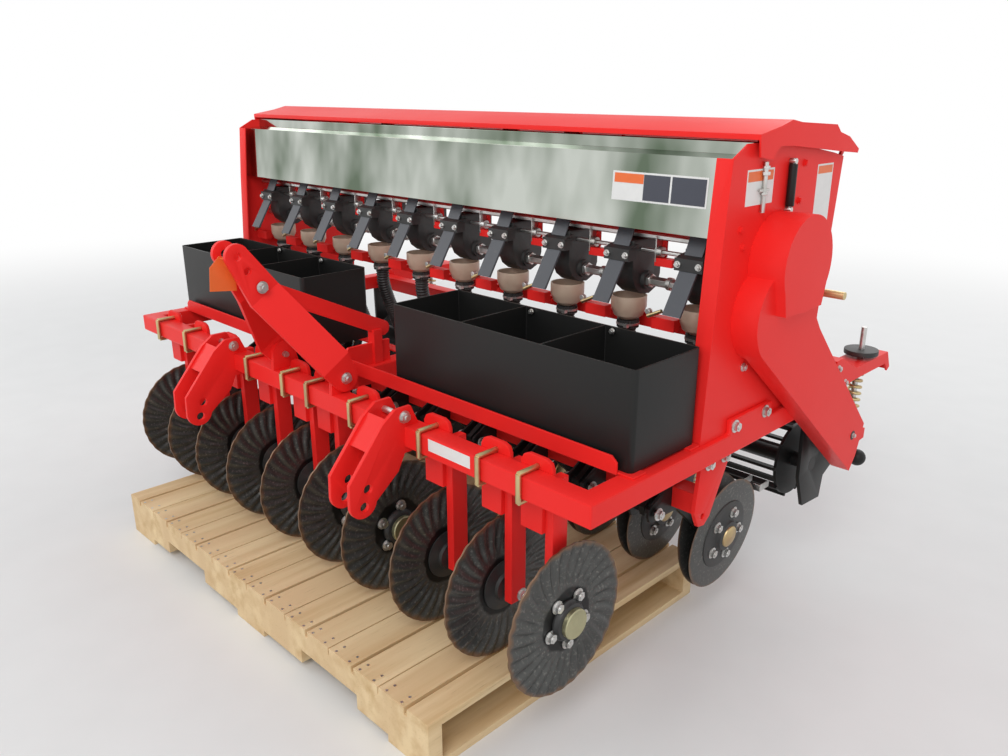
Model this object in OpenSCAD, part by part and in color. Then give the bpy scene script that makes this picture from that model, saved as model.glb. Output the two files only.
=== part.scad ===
// Ten-row seed drill for a tractor's three-point hitch, standing on its shipping pallet.
// X runs across the machine, Y from the hitch to the rear roller, Z up from the floor.
// The origin is on the floor, under the middle of the tool bar's front face.

/* [Rows] */
// Distance between two seed rows
row_pitch = 190; // [182:1:192]
// Height of the tool bar's top face above the floor
bar_top_z = 636; // [630:1:650]

/* [Frame] */
// Overall width of the frame
frame_w = 1950; // [1940:5:1980]
// Side of the frame's square tubes
tube = 50; // [46:1:52]
// Length of the side rails behind the tool bar's front face
rail_len = 1000; // [990:5:1010]
// Thickness of welded plates
plate_t = 10; // [8:1:12]

/* [Pallet] */
// Length of the pallet across the machine
pallet_len = 1475; // [1470:1:1490]
// Width of the pallet along the machine
pallet_w = 965; // [955:1:975]
// Thickness of the deck and bottom boards
board_t = 19; // [17:1:20]
// Height of the stringers
stringer_h = 89; // [86:1:92]
// Thickness of the stringers
stringer_t = 38; // [34:1:45]
// Gap in the deck under each row
deck_gap = 10; // [6:1:14]

/* [Coulters] */
// Diameter of a coulter disc
coulter_d = 346; // [336:1:348]
// Thickness of the coulter steel
coulter_t = 5; // [4:0.5:6]
// Distance of the coulter axles behind the tool bar's front face
coulter_y = 78; // [76:1:82]
// Distance from a coulter to the middle of its shank
coulter_offset = 36; // [34:1:38]
// Width of a shank
shank_w = 22; // [18:1:22]
// Depth of a shank
shank_d = 45; // [40:1:46]
// Diameter of the coulter hub
hub_d = 84; // [76:1:88]

/* [Hitch] */
// Distance between the middles of the two lower clevises
lower_spread = 780; // [770:1:790]
// Gap between the two plates of a lower clevis
lower_gap = 63; // [60:1:64]
// Diameter of the lower pin holes
lower_pin_d = 23; // [22.5:0.5:25]
// Gap between the two ears of the top link clevis
top_gap = 48; // [46:1:52]
// Diameter of the top pin holes
top_pin_d = 19.5; // [19.5:0.5:22]
// Distance between the feet of the mast
mast_spread = 300; // [296:1:304]

/* [Ballast boxes] */
// Length of a ballast box
box_len = 745; // [730:1:748]
// Depth of a ballast box
box_depth = 222; // [215:1:224]
// Height of a ballast box
box_h = 214; // [200:1:218]
// Thickness of the box walls
box_wall = 5; // [4:0.5:6]

/* [Hopper] */
// Distance between the outer faces of the end plates
hopper_w = 1926; // [1924:1:1928]
// Thickness of the end plates
end_t = 4; // [4:0.5:5]
// Thickness of the hopper's sheet
sheet_t = 3; // [2.5:0.5:4]

/* [Openers] */
// Diameter of an opener disc
opener_d = 300; // [290:1:300]
// Thickness of an opener disc
opener_t = 4; // [3:0.5:4]
// Lean of each opener disc of a pair, outwards at the top
opener_lean = 5; // [4:0.5:5]
// Distance between the centres of a pair's discs
opener_gap = 35.2; // [35:0.2:36]
// Thickness of the plate between a pair's discs
opener_arm_t = 14; // [10:1:14]

/* [Roller] */
// Diameter of the cage roller
roller_d = 220; // [210:1:224]
// Length of the cage roller
roller_len = 1770; // [1760:1:1776]
// Number of bars round the cage roller
roller_bars = 10; // [8:1:12]

/* [Hidden] */
rows = 10;
row_ids = [for (i = [1:rows]) str(i < 10 ? "0" : "", i)];

red = [0.83, 0.06, 0.06];
black = [0.08, 0.08, 0.08];
dark_steel = [0.17, 0.17, 0.18];
zinc = [0.78, 0.78, 0.74];
yellow_zinc = [0.72, 0.60, 0.33];
stainless = [0.80, 0.81, 0.80];
rubber = [0.10, 0.10, 0.11];
grey = [0.38, 0.39, 0.42];
tan = [0.72, 0.60, 0.50];
wood = [0.80, 0.65, 0.45];

clear = 0.3;
half_w = frame_w / 2;
bar_bottom_z = bar_top_z - tube;
function row_x(i) = (i - (rows + 1) / 2) * row_pitch;

// Coulters and opener discs stand on the deck of the pallet
deck_z = board_t + stringer_h + board_t;
coulter_z = deck_z + clear + coulter_d / 2;
opener_y = 668;
opener_z = deck_z + clear + opener_d / 2;
pallet_x = 2;
pallet_y = -210;

// Side of its disc on which each shank stands: 1 towards +X, -1 towards -X
shank_side = [1, 1, 1, 1, 1, -1, -1, 1, 1, -1];
function shank_x(i) = row_x(i) + shank_side[i - 1] * coulter_offset;

// A box given by its lowest and highest corners
module block(lo, hi) {
    translate(lo) cube(hi - lo);
}

// A plate standing in the YZ plane, drawn as [y, z] points, from x to x + t
module yz_plate(x, t, points) {
    translate([x, 0, 0]) rotate([90, 0, 90]) linear_extrude(t) polygon(points);
}

// The same for any 2D shape drawn with y across and z up
module yz_shape(x, t) {
    translate([x, 0, 0]) rotate([90, 0, 90]) linear_extrude(t) children();
}

// A plate standing in the XZ plane, drawn as [x, z] points, from y to y + t
module xz_plate(y, t, points) {
    translate([0, y + t, 0]) rotate([90, 0, 0]) linear_extrude(t) polygon(points);
}

// A cylinder along X
module rod_x(x0, x1, y, z, d, fn = 32) {
    translate([x0, y, z]) rotate([0, 90, 0]) cylinder(h = x1 - x0, d = d, $fn = fn);
}

// A hexagon bar or bolt head along X
module hex_x(x0, x1, y, z, across) {
    translate([x0, y, z]) rotate([0, 90, 0]) cylinder(h = x1 - x0, d = across / cos(30), $fn = 6);
}

// A straight round bar between two points
module bar_between(a, b, d, fn = 24) {
    v = b - a;
    len = norm(v);
    translate(a)
        rotate([0, acos(v[2] / len), atan2(v[1], v[0])])
            cylinder(h = len, d = d, $fn = fn);
}

// Shipping pallet: three notched stringers, deck boards with gaps under the rows, three bottom boards
notch_w = 230;
notch_h = 38;
module pallet() {
    x0 = pallet_x - pallet_len / 2;
    x1 = pallet_x + pallet_len / 2;
    y1 = pallet_y + pallet_w;
    color(wood) {
        for (y = [pallet_y, pallet_y + (pallet_w - stringer_t) / 2, y1 - stringer_t])
            difference() {
                block([x0, y, board_t], [x1, y + stringer_t, board_t + stringer_h]);
                for (s = [-1, 1])
                    block([pallet_x + s * pallet_len / 4 - notch_w / 2, y - 1, board_t - 1],
                          [pallet_x + s * pallet_len / 4 + notch_w / 2, y + stringer_t + 1, board_t + notch_h]);
            }
        for (x = [x0, pallet_x - 70, x1 - 140])
            block([x, pallet_y, 0], [x + 140, y1, board_t]);
        // Two deck boards between each pair of rows, one beyond the outer rows
        z0 = deck_z - board_t;
        for (i = [2:rows - 2]) {
            left = row_x(i) + deck_gap / 2;
            middle = (row_x(i) + row_x(i + 1)) / 2;
            block([left, pallet_y, z0], [middle - 2, y1, deck_z]);
            block([middle + 2, pallet_y, z0], [row_x(i + 1) - deck_gap / 2, y1, deck_z]);
        }
        block([x0, pallet_y, z0], [row_x(2) - deck_gap / 2, y1, deck_z]);
        block([row_x(rows - 1) + deck_gap / 2, pallet_y, z0], [x1, y1, deck_z]);
    }
}

// Tool bar, side rails, rear bar, middle beam and the lugs for the end plates
lug_y0 = 475;
lug_y1 = 655;
module main_frame() {
    color(red) {
        block([-half_w, 0, bar_bottom_z], [half_w, tube, bar_top_z]);
        for (s = [-1, 1]) {
            x = s > 0 ? half_w - tube : -half_w;
            block([x, tube, bar_bottom_z], [x + tube, rail_len, bar_top_z]);
            lug = s > 0 ? hopper_w / 2 : -half_w;
            block([lug, lug_y0, bar_top_z], [lug + half_w - hopper_w / 2, lug_y1, bar_top_z + 35]);
        }
        block([-half_w + tube, rail_len - tube, bar_bottom_z], [half_w - tube, rail_len, bar_top_z]);
        block([-tube / 2, tube + 10, bar_bottom_z], [tube / 2, rail_len - tube, bar_top_z]);
    }
}

// Bent flat-bar legs that meet as the ears of the top link clevis
top_pins = [[-158, 989], [-136, 952]];
mast_foot = [37, 676];
spacer = [-105, 910];
ear_t = 12;
leg_w = 88;
ear_w = 60;
leg_tilt = atan2(top_pins[0][1] - mast_foot[1], top_pins[0][0] - mast_foot[0]);
leg_along = [cos(leg_tilt), sin(leg_tilt)];
leg_across = [sin(leg_tilt), -cos(leg_tilt)];
mast_bend = mast_foot + 249 * leg_along;
mast_knee = mast_foot + 49 * leg_along;
module mast_leg(side) {
    ear_x = side * (top_gap + ear_t) / 2;
    foot_x = side * mast_spread / 2;
    // Ear, straight up to the top pin
    difference() {
        yz_shape(ear_x - ear_t / 2, ear_t) {
            translate(top_pins[0]) circle(d = ear_w, $fn = 32);
            polygon([mast_bend + leg_across * leg_w / 2, top_pins[0] + leg_across * ear_w / 2,
                     top_pins[0] - leg_across * ear_w / 2, mast_bend - leg_across * leg_w / 2]);
        }
        for (pin = top_pins) rod_x(ear_x - ear_t, ear_x + ear_t, pin[0], pin[1], top_pin_d);
    }
    // Sloping leg between the ear and the foot
    hull() {
        yz_plate(ear_x - ear_t / 2, ear_t, [mast_bend + leg_across * leg_w / 2, mast_bend - leg_across * leg_w / 2,
            mast_bend - leg_across * leg_w / 2 + 3 * leg_along, mast_bend + leg_across * leg_w / 2 + 3 * leg_along]);
        yz_plate(foot_x - ear_t / 2, ear_t, [mast_knee + leg_across * leg_w / 2, mast_knee - leg_across * leg_w / 2,
            mast_knee - leg_across * leg_w / 2 - 3 * leg_along, mast_knee + leg_across * leg_w / 2 - 3 * leg_along]);
    }
    // Foot, bolted to the lug on the tool bar
    yz_shape(foot_x - ear_t / 2, ear_t) {
        translate(mast_foot) circle(d = 70, $fn = 32);
        polygon([mast_knee + leg_across * leg_w / 2, mast_knee - leg_across * leg_w / 2,
                 mast_foot - leg_across * 35, mast_foot + leg_across * 35]);
    }
}
module hitch_mast() {
    color(red)
        for (side = [-1, 1]) {
            mast_leg(side);
            // Lug welded on the tool bar, inside the foot
            yz_shape(side * (mast_spread / 2 - ear_t) - ear_t / 2, ear_t) {
                translate(mast_foot) circle(d = 70, $fn = 32);
                polygon([[2, mast_foot[1]], [72, mast_foot[1]], [82, bar_top_z], [0, bar_top_z]]);
            }
        }
    color(zinc) {
        for (side = [-1, 1]) {
            middle = side * (mast_spread / 2 - ear_t / 2);
            rod_x(middle - ear_t - 12, middle + ear_t + 12, mast_foot[0], mast_foot[1], 16);
        }
        rod_x(-top_gap / 2 - ear_t - 8, top_gap / 2 + ear_t + 8, spacer[0], spacer[1], 16);
    }
}

// Sloping flat bar from the mast's spacer bolt to a post on the middle beam
brace_w = 42;
brace_end = [268, 731];
module mast_brace() {
    slope = atan2(brace_end[1] - spacer[1], brace_end[0] - spacer[0]);
    color(red) {
        difference() {
            yz_shape(-6, 12) {
                translate(spacer) circle(d = brace_w, $fn = 32);
                translate(brace_end) circle(d = brace_w, $fn = 32);
                translate(spacer) rotate(slope) translate([0, -brace_w / 2]) square([norm(brace_end - spacer), brace_w]);
            }
            rod_x(-11, 11, spacer[0], spacer[1], 16);
        }
        block([-14, 230, bar_top_z], [14, 258, brace_end[1]]);
        // Gusset, notched over the box shelf
        yz_plate(-5, 10, [[147, box_z], [147, 690], [153, 696], [288, 696], [288, bar_top_z], [box_y + 36, bar_top_z],
            [box_y + 36, box_z]]);
    }
}

// Clevis of two bent plates, clamped on the tool bar, with two pin holes one above the other
lower_pins = [[-108, 517], [-120, 477]];
module hitch_bracket(side) {
    cx = side * lower_spread / 2;
    color(red) {
        for (s = [-1, 1])
            difference() {
                yz_shape(cx + s * (lower_gap + plate_t) / 2 - plate_t / 2, plate_t) {
                    translate([-122, 487]) circle(r = 36, $fn = 32);
                    polygon([[-86, 481], [-22, 533], [-2, bar_bottom_z - 14], [tube - 1, bar_bottom_z - 14],
                             [tube - 1, bar_bottom_z], [0, bar_bottom_z], [0, bar_top_z], [40, bar_top_z], [20, 682],
                             [-24, 682], [-60, 656], [-156, 540], [-158, 487]]);
                }
                for (pin = lower_pins)
                    rod_x(cx - lower_gap, cx + lower_gap, pin[0], pin[1], lower_pin_d);
            }
        // Web between the plates, ahead of the tool bar
        yz_plate(cx - lower_gap / 2, lower_gap, [[-46, 664], [-41, 660], [-95, 596], [-100, 600]]);
        block([cx - lower_gap / 2, -plate_t, bar_bottom_z], [cx + lower_gap / 2, 0, bar_top_z + 12]);
    }
    color(zinc) rod_x(cx - lower_gap / 2 - plate_t - 10, cx + lower_gap / 2 + plate_t + 10, 0, 660, 16);
}

// Shank bars, each with the stub axle of its coulter
shank_y = 60;
module coulter_shanks() {
    for (i = [1:rows]) {
        x = shank_x(i);
        far = row_x(i) - shank_side[i - 1] * 30;
        color(red)
            block([x - shank_w / 2, shank_y, coulter_z - 26], [x + shank_w / 2, shank_y + shank_d, bar_top_z - 20]);
        color(zinc)
            rod_x(min(x, far), max(x, far), coulter_y, coulter_z, 24);
    }
}

// Clamp of each shank: a plate behind the tool bar and a block below it
clamp_bottom_z = 491;
clamp_top_z = 663;
clamp_w = 61;
module shank_clamps() {
    for (i = [1:rows]) {
        x = shank_x(i);
        right = x - shank_w / 2;
        left = right - clamp_w;
        color(red) {
            xz_plate(tube, 10, [[left, clamp_bottom_z], [left, clamp_top_z - 20], [left + 8, clamp_top_z - 6],
                [left + 22, clamp_top_z], [x - 4, clamp_top_z], [x + 10, clamp_top_z - 6], [x + 16, clamp_top_z - 20],
                [x + 16, bar_bottom_z - 12], [right, bar_bottom_z - 30], [right, clamp_bottom_z]]);
            block([left, tube + 10, clamp_bottom_z], [right, shank_y + shank_d, bar_bottom_z - 14]);
        }
    }
}

// U-bolts round the tool bar, their ends against the clamp plates
bolt_d = 12;
module u_bolt(x) {
    front = -bolt_d / 2 - clear;
    low = bar_bottom_z - bolt_d / 2 - clear;
    high = bar_top_z + bolt_d / 2 + clear;
    for (z = [low, high])
        translate([x, front, z]) rotate([-90, 0, 0]) cylinder(h = tube - front, d = bolt_d, $fn = 24);
    translate([x, front, low]) cylinder(h = high - low, d = bolt_d, $fn = 24);
}
module clamp_bolts() {
    color(yellow_zinc)
        for (i = [1:rows]) u_bolt(shank_x(i) - 24);
}

// Open-topped box with two dividers
box_y = 150;
box_left_x = -950;
box_right_x = 205;
box_z = bar_top_z + 5;
box_r = 12;
module ballast_box(x0) {
    pocket = (box_len - 4 * box_wall) / 3;
    color(black)
        difference() {
            // Pressed sheet with rounded upright corners
            union() {
                block([x0 + box_r, box_y, box_z], [x0 + box_len - box_r, box_y + box_depth, box_z + box_h]);
                block([x0, box_y + box_r, box_z], [x0 + box_len, box_y + box_depth - box_r, box_z + box_h]);
                for (x = [x0 + box_r, x0 + box_len - box_r], y = [box_y + box_r, box_y + box_depth - box_r])
                    translate([x, y, box_z]) cylinder(h = box_h, r = box_r, $fn = 32);
            }
            for (k = [0:2])
                block([x0 + box_wall + k * (pocket + box_wall), box_y + box_wall, box_z + box_wall],
                      [x0 + box_wall + k * (pocket + box_wall) + pocket, box_y + box_depth - box_wall, box_z + box_h + 1]);
        }
}

// Angle rail in front of the boxes and flat rail behind them
module box_shelf() {
    color(red) {
        xz_plate(box_y - 14, 5, [[-half_w + tube, bar_top_z], [-half_w + tube, bar_top_z + 26], [-half_w + tube + 14, bar_top_z + 38],
            [half_w - tube - 14, bar_top_z + 38], [half_w - tube, bar_top_z + 26], [half_w - tube, bar_top_z]]);
        block([-half_w + 12, box_y - 9, bar_top_z], [half_w - 12, box_y + 34, box_z]);
        block([-half_w + 12, box_y + box_depth - 34, bar_top_z], [half_w - 12, box_y + box_depth, box_z]);
    }
}

// Flanged end plate of the hopper, from the rail to the lid
module end_plate(side) {
    x = side > 0 ? hopper_w / 2 - end_t : -hopper_w / 2;
    flange_x = side > 0 ? x - 34 : x;
    color(red) {
        yz_plate(x, end_t, [[374, bar_top_z], [400, 1069], [413, 1228], [463, 1254], [560, 1256], [640, 1250],
            [850, 1219], [899, 1209], [863, 842], [850, bar_top_z]]);
        // Front flange turned in towards the panel
        yz_plate(flange_x, 34 + end_t, [[374, bar_top_z], [400, 1069], [413, 1228], [417, 1228], [404, 1069], [378, bar_top_z]]);
    }
}

// Polished front panel with a folded top rail
inner_x = hopper_w / 2 - end_t;
module front_panel() {
    color(stainless)
        yz_plate(-inner_x, 2 * inner_x, [[422, 1067], [432, 1226], [489, 1231], [490, 1255], [500, 1255], [500, 1252],
            [493, 1252], [492, 1228], [435, 1223], [425, 1067]]);
}

// Folded sheet trough that holds the seed
trough_y0 = 441;
trough_y1 = 888;
module hopper_trough() {
    outer = [[trough_y0, 1222], [trough_y0, 1088], [516, 1034], [600, 1034], [trough_y1, 1150], [trough_y1, 1208]];
    hollow = [[trough_y0 + sheet_t, 1300], [trough_y0 + sheet_t, 1090], [517, 1034 + sheet_t],
              [599, 1034 + sheet_t], [trough_y1 - sheet_t, 1150 + sheet_t], [trough_y1 - sheet_t, 1300]];
    color(red)
        difference() {
            yz_plate(-inner_x, 2 * inner_x, outer);
            yz_plate(-inner_x + sheet_t, 2 * (inner_x - sheet_t), hollow);
        }
    // Ears and pin of the lid's hinge
    color(red)
        for (x = [-inner_x, -inner_x / 3, inner_x / 3 - 6, inner_x - 6])
            yz_shape(x, 6) {
                translate([hinge_y, hinge_z]) circle(d = 14, $fn = 32);
                polygon([[trough_y1 - 1, 1193], [trough_y1 - 1, 1206], [hinge_y - 5, hinge_z + 4], [hinge_y + 4, hinge_z - 5]]);
            }
    color(zinc) rod_x(-inner_x, inner_x, hinge_y, hinge_z, hinge_pin_d);
}

// Pin of the lid's hinge
hinge_y = 906;
hinge_z = 1226;
hinge_pin_d = 10;

// Seed meters under the trough, one behind each pair of shutter plates
meter_offset = 15;
meter_y = 505;
meter_z = 938;
function meter_x(i) = row_x(i) + meter_offset;
module meter_housings() {
    color(black)
        for (i = [1:rows]) {
            x = meter_x(i);
            difference() {
                union() {
                    yz_plate(x - 27, 54, [[452, 1034], [452, 952], [466, 924], [488, 908], [520, 904], [548, 916], [560, 946], [560, 1034]]);
                    // Bearing bosses of the shaft
                    rod_x(x - 36, x + 36, meter_y, meter_z, 44);
                    // Clamp block of the shutter plates
                    block([x - 35, 424, 991], [x + 35, 453, 1018]);
                    yz_plate(x - 33, 66, [[430, 1018], [462, 1018], [462, 1026], [436, 1022]]);
                }
                hex_x(x - 40, x + 40, meter_y, meter_z, shaft_w);
            }
        }
}

// Funnel cups that catch the seed
cup_y = 480;
cup_z = 846;
cup_h = 57;
module seed_cups() {
    color(tan)
        for (i = [1:rows])
            translate([meter_x(i), cup_y, cup_z])
                rotate_extrude($fn = 32)
                    polygon([[0, 0], [20, 0], [34, 10], [42, 30], [42, cup_h], [38, cup_h], [38, 31], [32, 13], [18, 4], [0, 4]]);
}

// Hexagon shafts through the meters and the rail that the cups stand against
shaft_w = 20;
module meter_shafts() {
    color(zinc) {
        hex_x(-inner_x, inner_x, meter_y, meter_z, shaft_w);
        hex_x(-inner_x, inner_x, 484, 1045, 12);
    }
    color(red) block([-inner_x, cup_y + 42, 822], [inner_x, cup_y + 48, 856]);
}

// Shutter plates in front of the meters: a short upper one and a long sloping lower one
shutter_w = 44;
module shutter_plates() {
    color(grey)
        for (i = [1:rows]) {
            x = meter_x(i) - shutter_w / 2;
            yz_plate(x, shutter_w, [[440, 1022.9], [444, 1023.5], [462, 1060], [458, 1060]]);
            yz_plate(x, shutter_w, [[425, 991], [431, 991], [377, 903], [371, 905]]);
        }
}

// Hoses from the cups to the openers
hose_d = 40;
hose_foot = [610, 402];
module seed_hoses() {
    color(black)
        for (i = [1:rows]) {
            x = row_x(i);
            translate([meter_x(i), cup_y, cup_z - 34]) cylinder(h = 34 - clear, d = hose_d + 2, $fn = 16);
            bar_between([meter_x(i), cup_y, cup_z - 17], [x + 8, 545, 620], hose_d, 16);
            bar_between([x + 8, 540, 640], [x, hose_foot[0], 450], hose_d - 6, 16);
            translate([x, hose_foot[0], hose_foot[1] + clear]) cylinder(h = 60, d = hose_d - 8, $fn = 16);
        }
}

// Transverse tube that carries the openers, on two drop plates
opener_bar_y = 430;
opener_bar_z = 480;
module opener_bar() {
    h = tube / 2;
    color(red) {
        block([-half_w + 34, opener_bar_y - h, opener_bar_z - h], [half_w - 34, opener_bar_y + h, opener_bar_z + h]);
        for (s = [-1, 1])
            difference() {
                yz_plate(s > 0 ? half_w - 34 : -half_w + 24, 10, [[409, bar_bottom_z], [525, bar_bottom_z], [519, 552],
                    [458, 436], [438, 420], [414, 424], [394, 464]]);
                rod_x(s * (half_w - 29) - 10, s * (half_w - 29) + 10, 428, 446, 14);
            }
    }
}

// Clamp plates on the bar, the trailing plate between each pair of discs, its pivot bolt and its scraper
pivot = [340, 462];
spring_top = [505, 556];
spring_seat = [537, 463.5];
spring_run = (spring_seat - spring_top) / norm(spring_seat - spring_top);
seat_side = [-spring_run[1], spring_run[0]] * 16;
module opener_arms() {
    h = tube / 2;
    for (i = [1:rows]) {
        x = row_x(i);
        color(black)
            difference() {
                union() {
                    for (s = [-1, 1])
                        yz_shape(x + s * 25 - 3, 6) {
                            polygon([[pivot[0] - 20, pivot[1] + 14], [pivot[0] - 18, pivot[1] - 18], [400, 440], [470, 440],
                                     [spring_top[0] + 12, spring_top[1]], [spring_top[0] + 8, 568], [spring_top[0] - 8, 568],
                                     [468, 520], [395, 516]]);
                            translate(pivot) circle(d = 46, $fn = 32);
                        }
                    // Trailing plate, with seats for the spring and the hose and a tail for the scraper
                    yz_plate(x - opener_arm_t / 2, opener_arm_t, [[pivot[0] - 12, pivot[1] + 10], [pivot[0] - 8, pivot[1] - 12],
                        [440, 440], [560, 330], [640, 258], [opener_y, opener_z - 37], [692, 262], [705, 290], [826, 340],
                        [826, 362], [700, 322], [650, 372], [630, hose_foot[1]], [590, hose_foot[1]], spring_seat + seat_side,
                        spring_seat - seat_side, [500, 480], [468, 512], [395, 512]]);
                }
                block([x - 40, opener_bar_y - h, opener_bar_z - h], [x + 40, opener_bar_y + h, opener_bar_z + h]);
            }
        color(zinc) {
            rod_x(x - 38, x + 38, pivot[0], pivot[1], 18);
            rod_x(x - 28, x + 28, spring_top[0], spring_top[1], 12);
            // Stub axles of the two discs
            for (s = [-1, 1]) on_disc(i, s) cylinder(h = 34, d = 20, center = true, $fn = 32);
            // Scraper bent round to the backs of the two discs
            difference() {
                block([x - 26, 826, 342], [x + 26, 874, 360]);
                block([x - 23, 829, 341], [x + 23, 875, 361]);
            }
        }
    }
}

// Places an axle along Z on the leaning axis of a disc, its middle in the disc
module on_disc(i, s) {
    translate([row_x(i) + s * opener_gap / 2, opener_y, opener_z])
        rotate([0, s * opener_lean, 0]) rotate([0, 90, 0]) children();
}

// One disc of a pair, with its hub on the outer side
module opener_disc(i, s) {
    difference() {
        union() {
            color(dark_steel) on_disc(i, s) cylinder(h = opener_t, d = opener_d, center = true, $fn = 64);
            color(black) on_disc(i, s) translate([0, 0, s > 0 ? 0 : -18]) cylinder(h = 18, d = 84, $fn = 48);
        }
        on_disc(i, s) cylinder(h = 50, d = 20 + 2 * clear, center = true, $fn = 32);
    }
}

// Down-pressure springs of the openers and springs of the roller arms
module down_springs() {
    start = spring_top + 6 * spring_run;
    color(yellow_zinc) {
        for (i = [1:rows]) bar_between([row_x(i), start[0], start[1]], [row_x(i), spring_seat[0], spring_seat[1]], 26, 16);
        for (s = [-1, 1]) translate([s * arm_x, roller_y + 228, 434]) cylinder(h = 172, d = 42, $fn = 32);
    }
}

// Stepped chain case on the right end plate
case_x = hopper_w / 2;
module chain_case() {
    face = max(half_w, case_x + 12);
    color(red) {
        yz_shape(face, 50) {
            polygon([[493, 818], [715, 640], [roller_y + 34, roller_z - 3], [roller_y + 62, roller_z + 33],
                     [roller_y + 92, roller_z + 118], [749, 835], [687, 912]]);
            translate([558, 896]) circle(r = 102, $fn = 48);
            translate([610, 1006]) circle(r = 105, $fn = 48);
        }
        yz_shape(case_x, face - case_x) {
            translate([558, 896]) circle(r = 102, $fn = 48);
            translate([610, 1006]) circle(r = 105, $fn = 48);
        }
        yz_shape(face + 50, 22) {
            translate([610, 1006]) circle(r = 105, $fn = 48);
            polygon([[505, 1006], [530, 905], [690, 905], [715, 1006]]);
        }
    }
}

module rate_adjuster() {
    rod_y = 775;
    rod_z = 913;
    color(yellow_zinc) {
        rod_x(case_x, case_x + 22, rod_y, rod_z, 44);
        rod_x(case_x + 22, case_x + 98, rod_y, rod_z, 18);
    }
    color(black) block([case_x, rod_y - 8, rod_z + 20], [case_x + 14, rod_y + 8, rod_z + 54]);
}

// Roller arms, springs, brackets and hand wheels at both sides, placed from the rear end of the rails
roller_y = rail_len;
roller_z = 386;
arm_x = 932;
roller_axle_d = 40;
module roller_arms() {
    color(black) {
        for (s = [-1, 1])
            difference() {
                yz_plate(s * arm_x - 5, 10, [[roller_y - 75, bar_bottom_z], [roller_y - 10, bar_bottom_z],
                    [roller_y + 60, roller_z + 30], [roller_y + 240, 434], [roller_y + 252, 420], [roller_y + 240, 400],
                    [roller_y + 80, roller_z - 60], [roller_y + 70, 262], [roller_y - 30, 270], [roller_y - 70, roller_z - 20]]);
                rod_x(s * arm_x - 6, s * arm_x + 6, roller_y, roller_z, roller_axle_d + 2 * clear, 48);
            }
        // Rubber stop on the right arm
        rod_x(arm_x + 5, 996, roller_y + 143, roller_z - 6, 20, 24);
        translate([1000, roller_y + 143, roller_z - 6]) sphere(d = 46, $fn = 32);
    }
}

module spring_brackets() {
    color(red) {
        for (s = [-1, 1]) {
            x = s * arm_x - 38;
            difference() {
                yz_plate(x, 76, [[rail_len, bar_bottom_z + 4], [rail_len, bar_top_z + 50], [rail_len + 34, 688],
                    [rail_len + 126, 640], [rail_len + 339, 640], [rail_len + 365, 590], [rail_len + 350, 580],
                    [rail_len + 330, 606], [rail_len + 110, 606]]);
                yz_plate(x + 6, 64, [[rail_len + 6, 540], [rail_len + 6, bar_top_z + 44], [rail_len + 32, 681],
                    [rail_len + 124, 634], [rail_len + 200, 634], [rail_len + 200, 540]]);
                yz_plate(x + 6, 64, [[rail_len + 206, 540], [rail_len + 206, 634], [rail_len + 335, 634],
                    [rail_len + 355, 594], [rail_len + 355, 540]]);
            }
        }
        // Tail plate on the outer face of the right arm
        yz_plate(arm_x + 5, 8, [[roller_y + 196, 392], [roller_y + 196, 416], [roller_y + 262, 408], [roller_y + 316, 404],
            [roller_y + 316, 372], [roller_y + 268, 370]]);
    }
}

module hand_wheels() {
    for (s = [-1, 1]) {
        color(black) translate([s * arm_x, roller_y + 240, 648]) cylinder(h = 14, d = 92, $fn = 48);
        color(zinc) translate([s * arm_x, roller_y + 240, 640]) cylinder(h = 86, d = 16, $fn = 24);
    }
}

module gas_strut() {
    color(black) bar_between([case_x + 9, 642, 1118], [case_x + 9, 641, 1206], 18);
}

module lid_latch() {
    color(zinc) bar_between([case_x + 5, 534, 1114], [case_x + 5, 532, 1217], 10);
}

// Sheet lid with closed ends, hinged behind the trough
lid_half = 979;
lid_skin = [[482, 1261], [482, 1272], [563, 1286], [608, 1297], [648, 1291], [813, 1282], [835, 1265], [883, 1254], [940, 1224]];
lid_under = [[936, 1220], [881, 1250], [832, 1261], [811, 1278], [648, 1287], [608, 1293], [564, 1282], [486, 1269], [486, 1261]];
module lid() {
    color(red) {
        for (x = [-lid_half, lid_half - 4])
            yz_plate(x, 4, concat(lid_skin, [[936, 1215], [853, 1222], [626, 1244], [568, 1246], [552, 1237], [540, 1220], [488, 1228]]));
        yz_plate(-lid_half, 2 * lid_half, concat(lid_skin, lid_under));
        for (x = [-800, -160, 100, 740])
            difference() {
                yz_shape(x, 60) {
                    translate([hinge_y, hinge_z]) circle(d = 18, $fn = 32);
                    translate([hinge_y - 8, hinge_z]) square([16, 13]);
                }
                rod_x(x - 1, x + 61, hinge_y, hinge_z, hinge_pin_d + 2 * clear, 48);
            }
    }
}

// Cage roller: end and middle discs joined by flat bars
module cage_roller() {
    color(black) {
        for (k = [0:4])
            rod_x(-roller_len / 2 + k * (roller_len - 8) / 4, -roller_len / 2 + k * (roller_len - 8) / 4 + 8, roller_y, roller_z, roller_d - 16, 48);
        for (k = [0:roller_bars - 1])
            translate([0, roller_y, roller_z]) rotate([k * 360 / roller_bars, 0, 0])
                block([-roller_len / 2, roller_d / 2 - 16, -4], [roller_len / 2, roller_d / 2, 4]);
        rod_x(-arm_x - 5, arm_x + 5, roller_y, roller_z, roller_axle_d, 48);
    }
}

// Coulter with its hub
module coulter(i) {
    x = row_x(i);
    difference() {
        union() {
            color(dark_steel) rod_x(x - coulter_t / 2, x + coulter_t / 2, coulter_y, coulter_z, coulter_d, 64);
            color(black) rod_x(x - 20, x + 20, coulter_y, coulter_z, hub_d);
        }
        rod_x(x - 23, x + 23, coulter_y, coulter_z, 24 + 2 * clear);
    }
}

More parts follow.
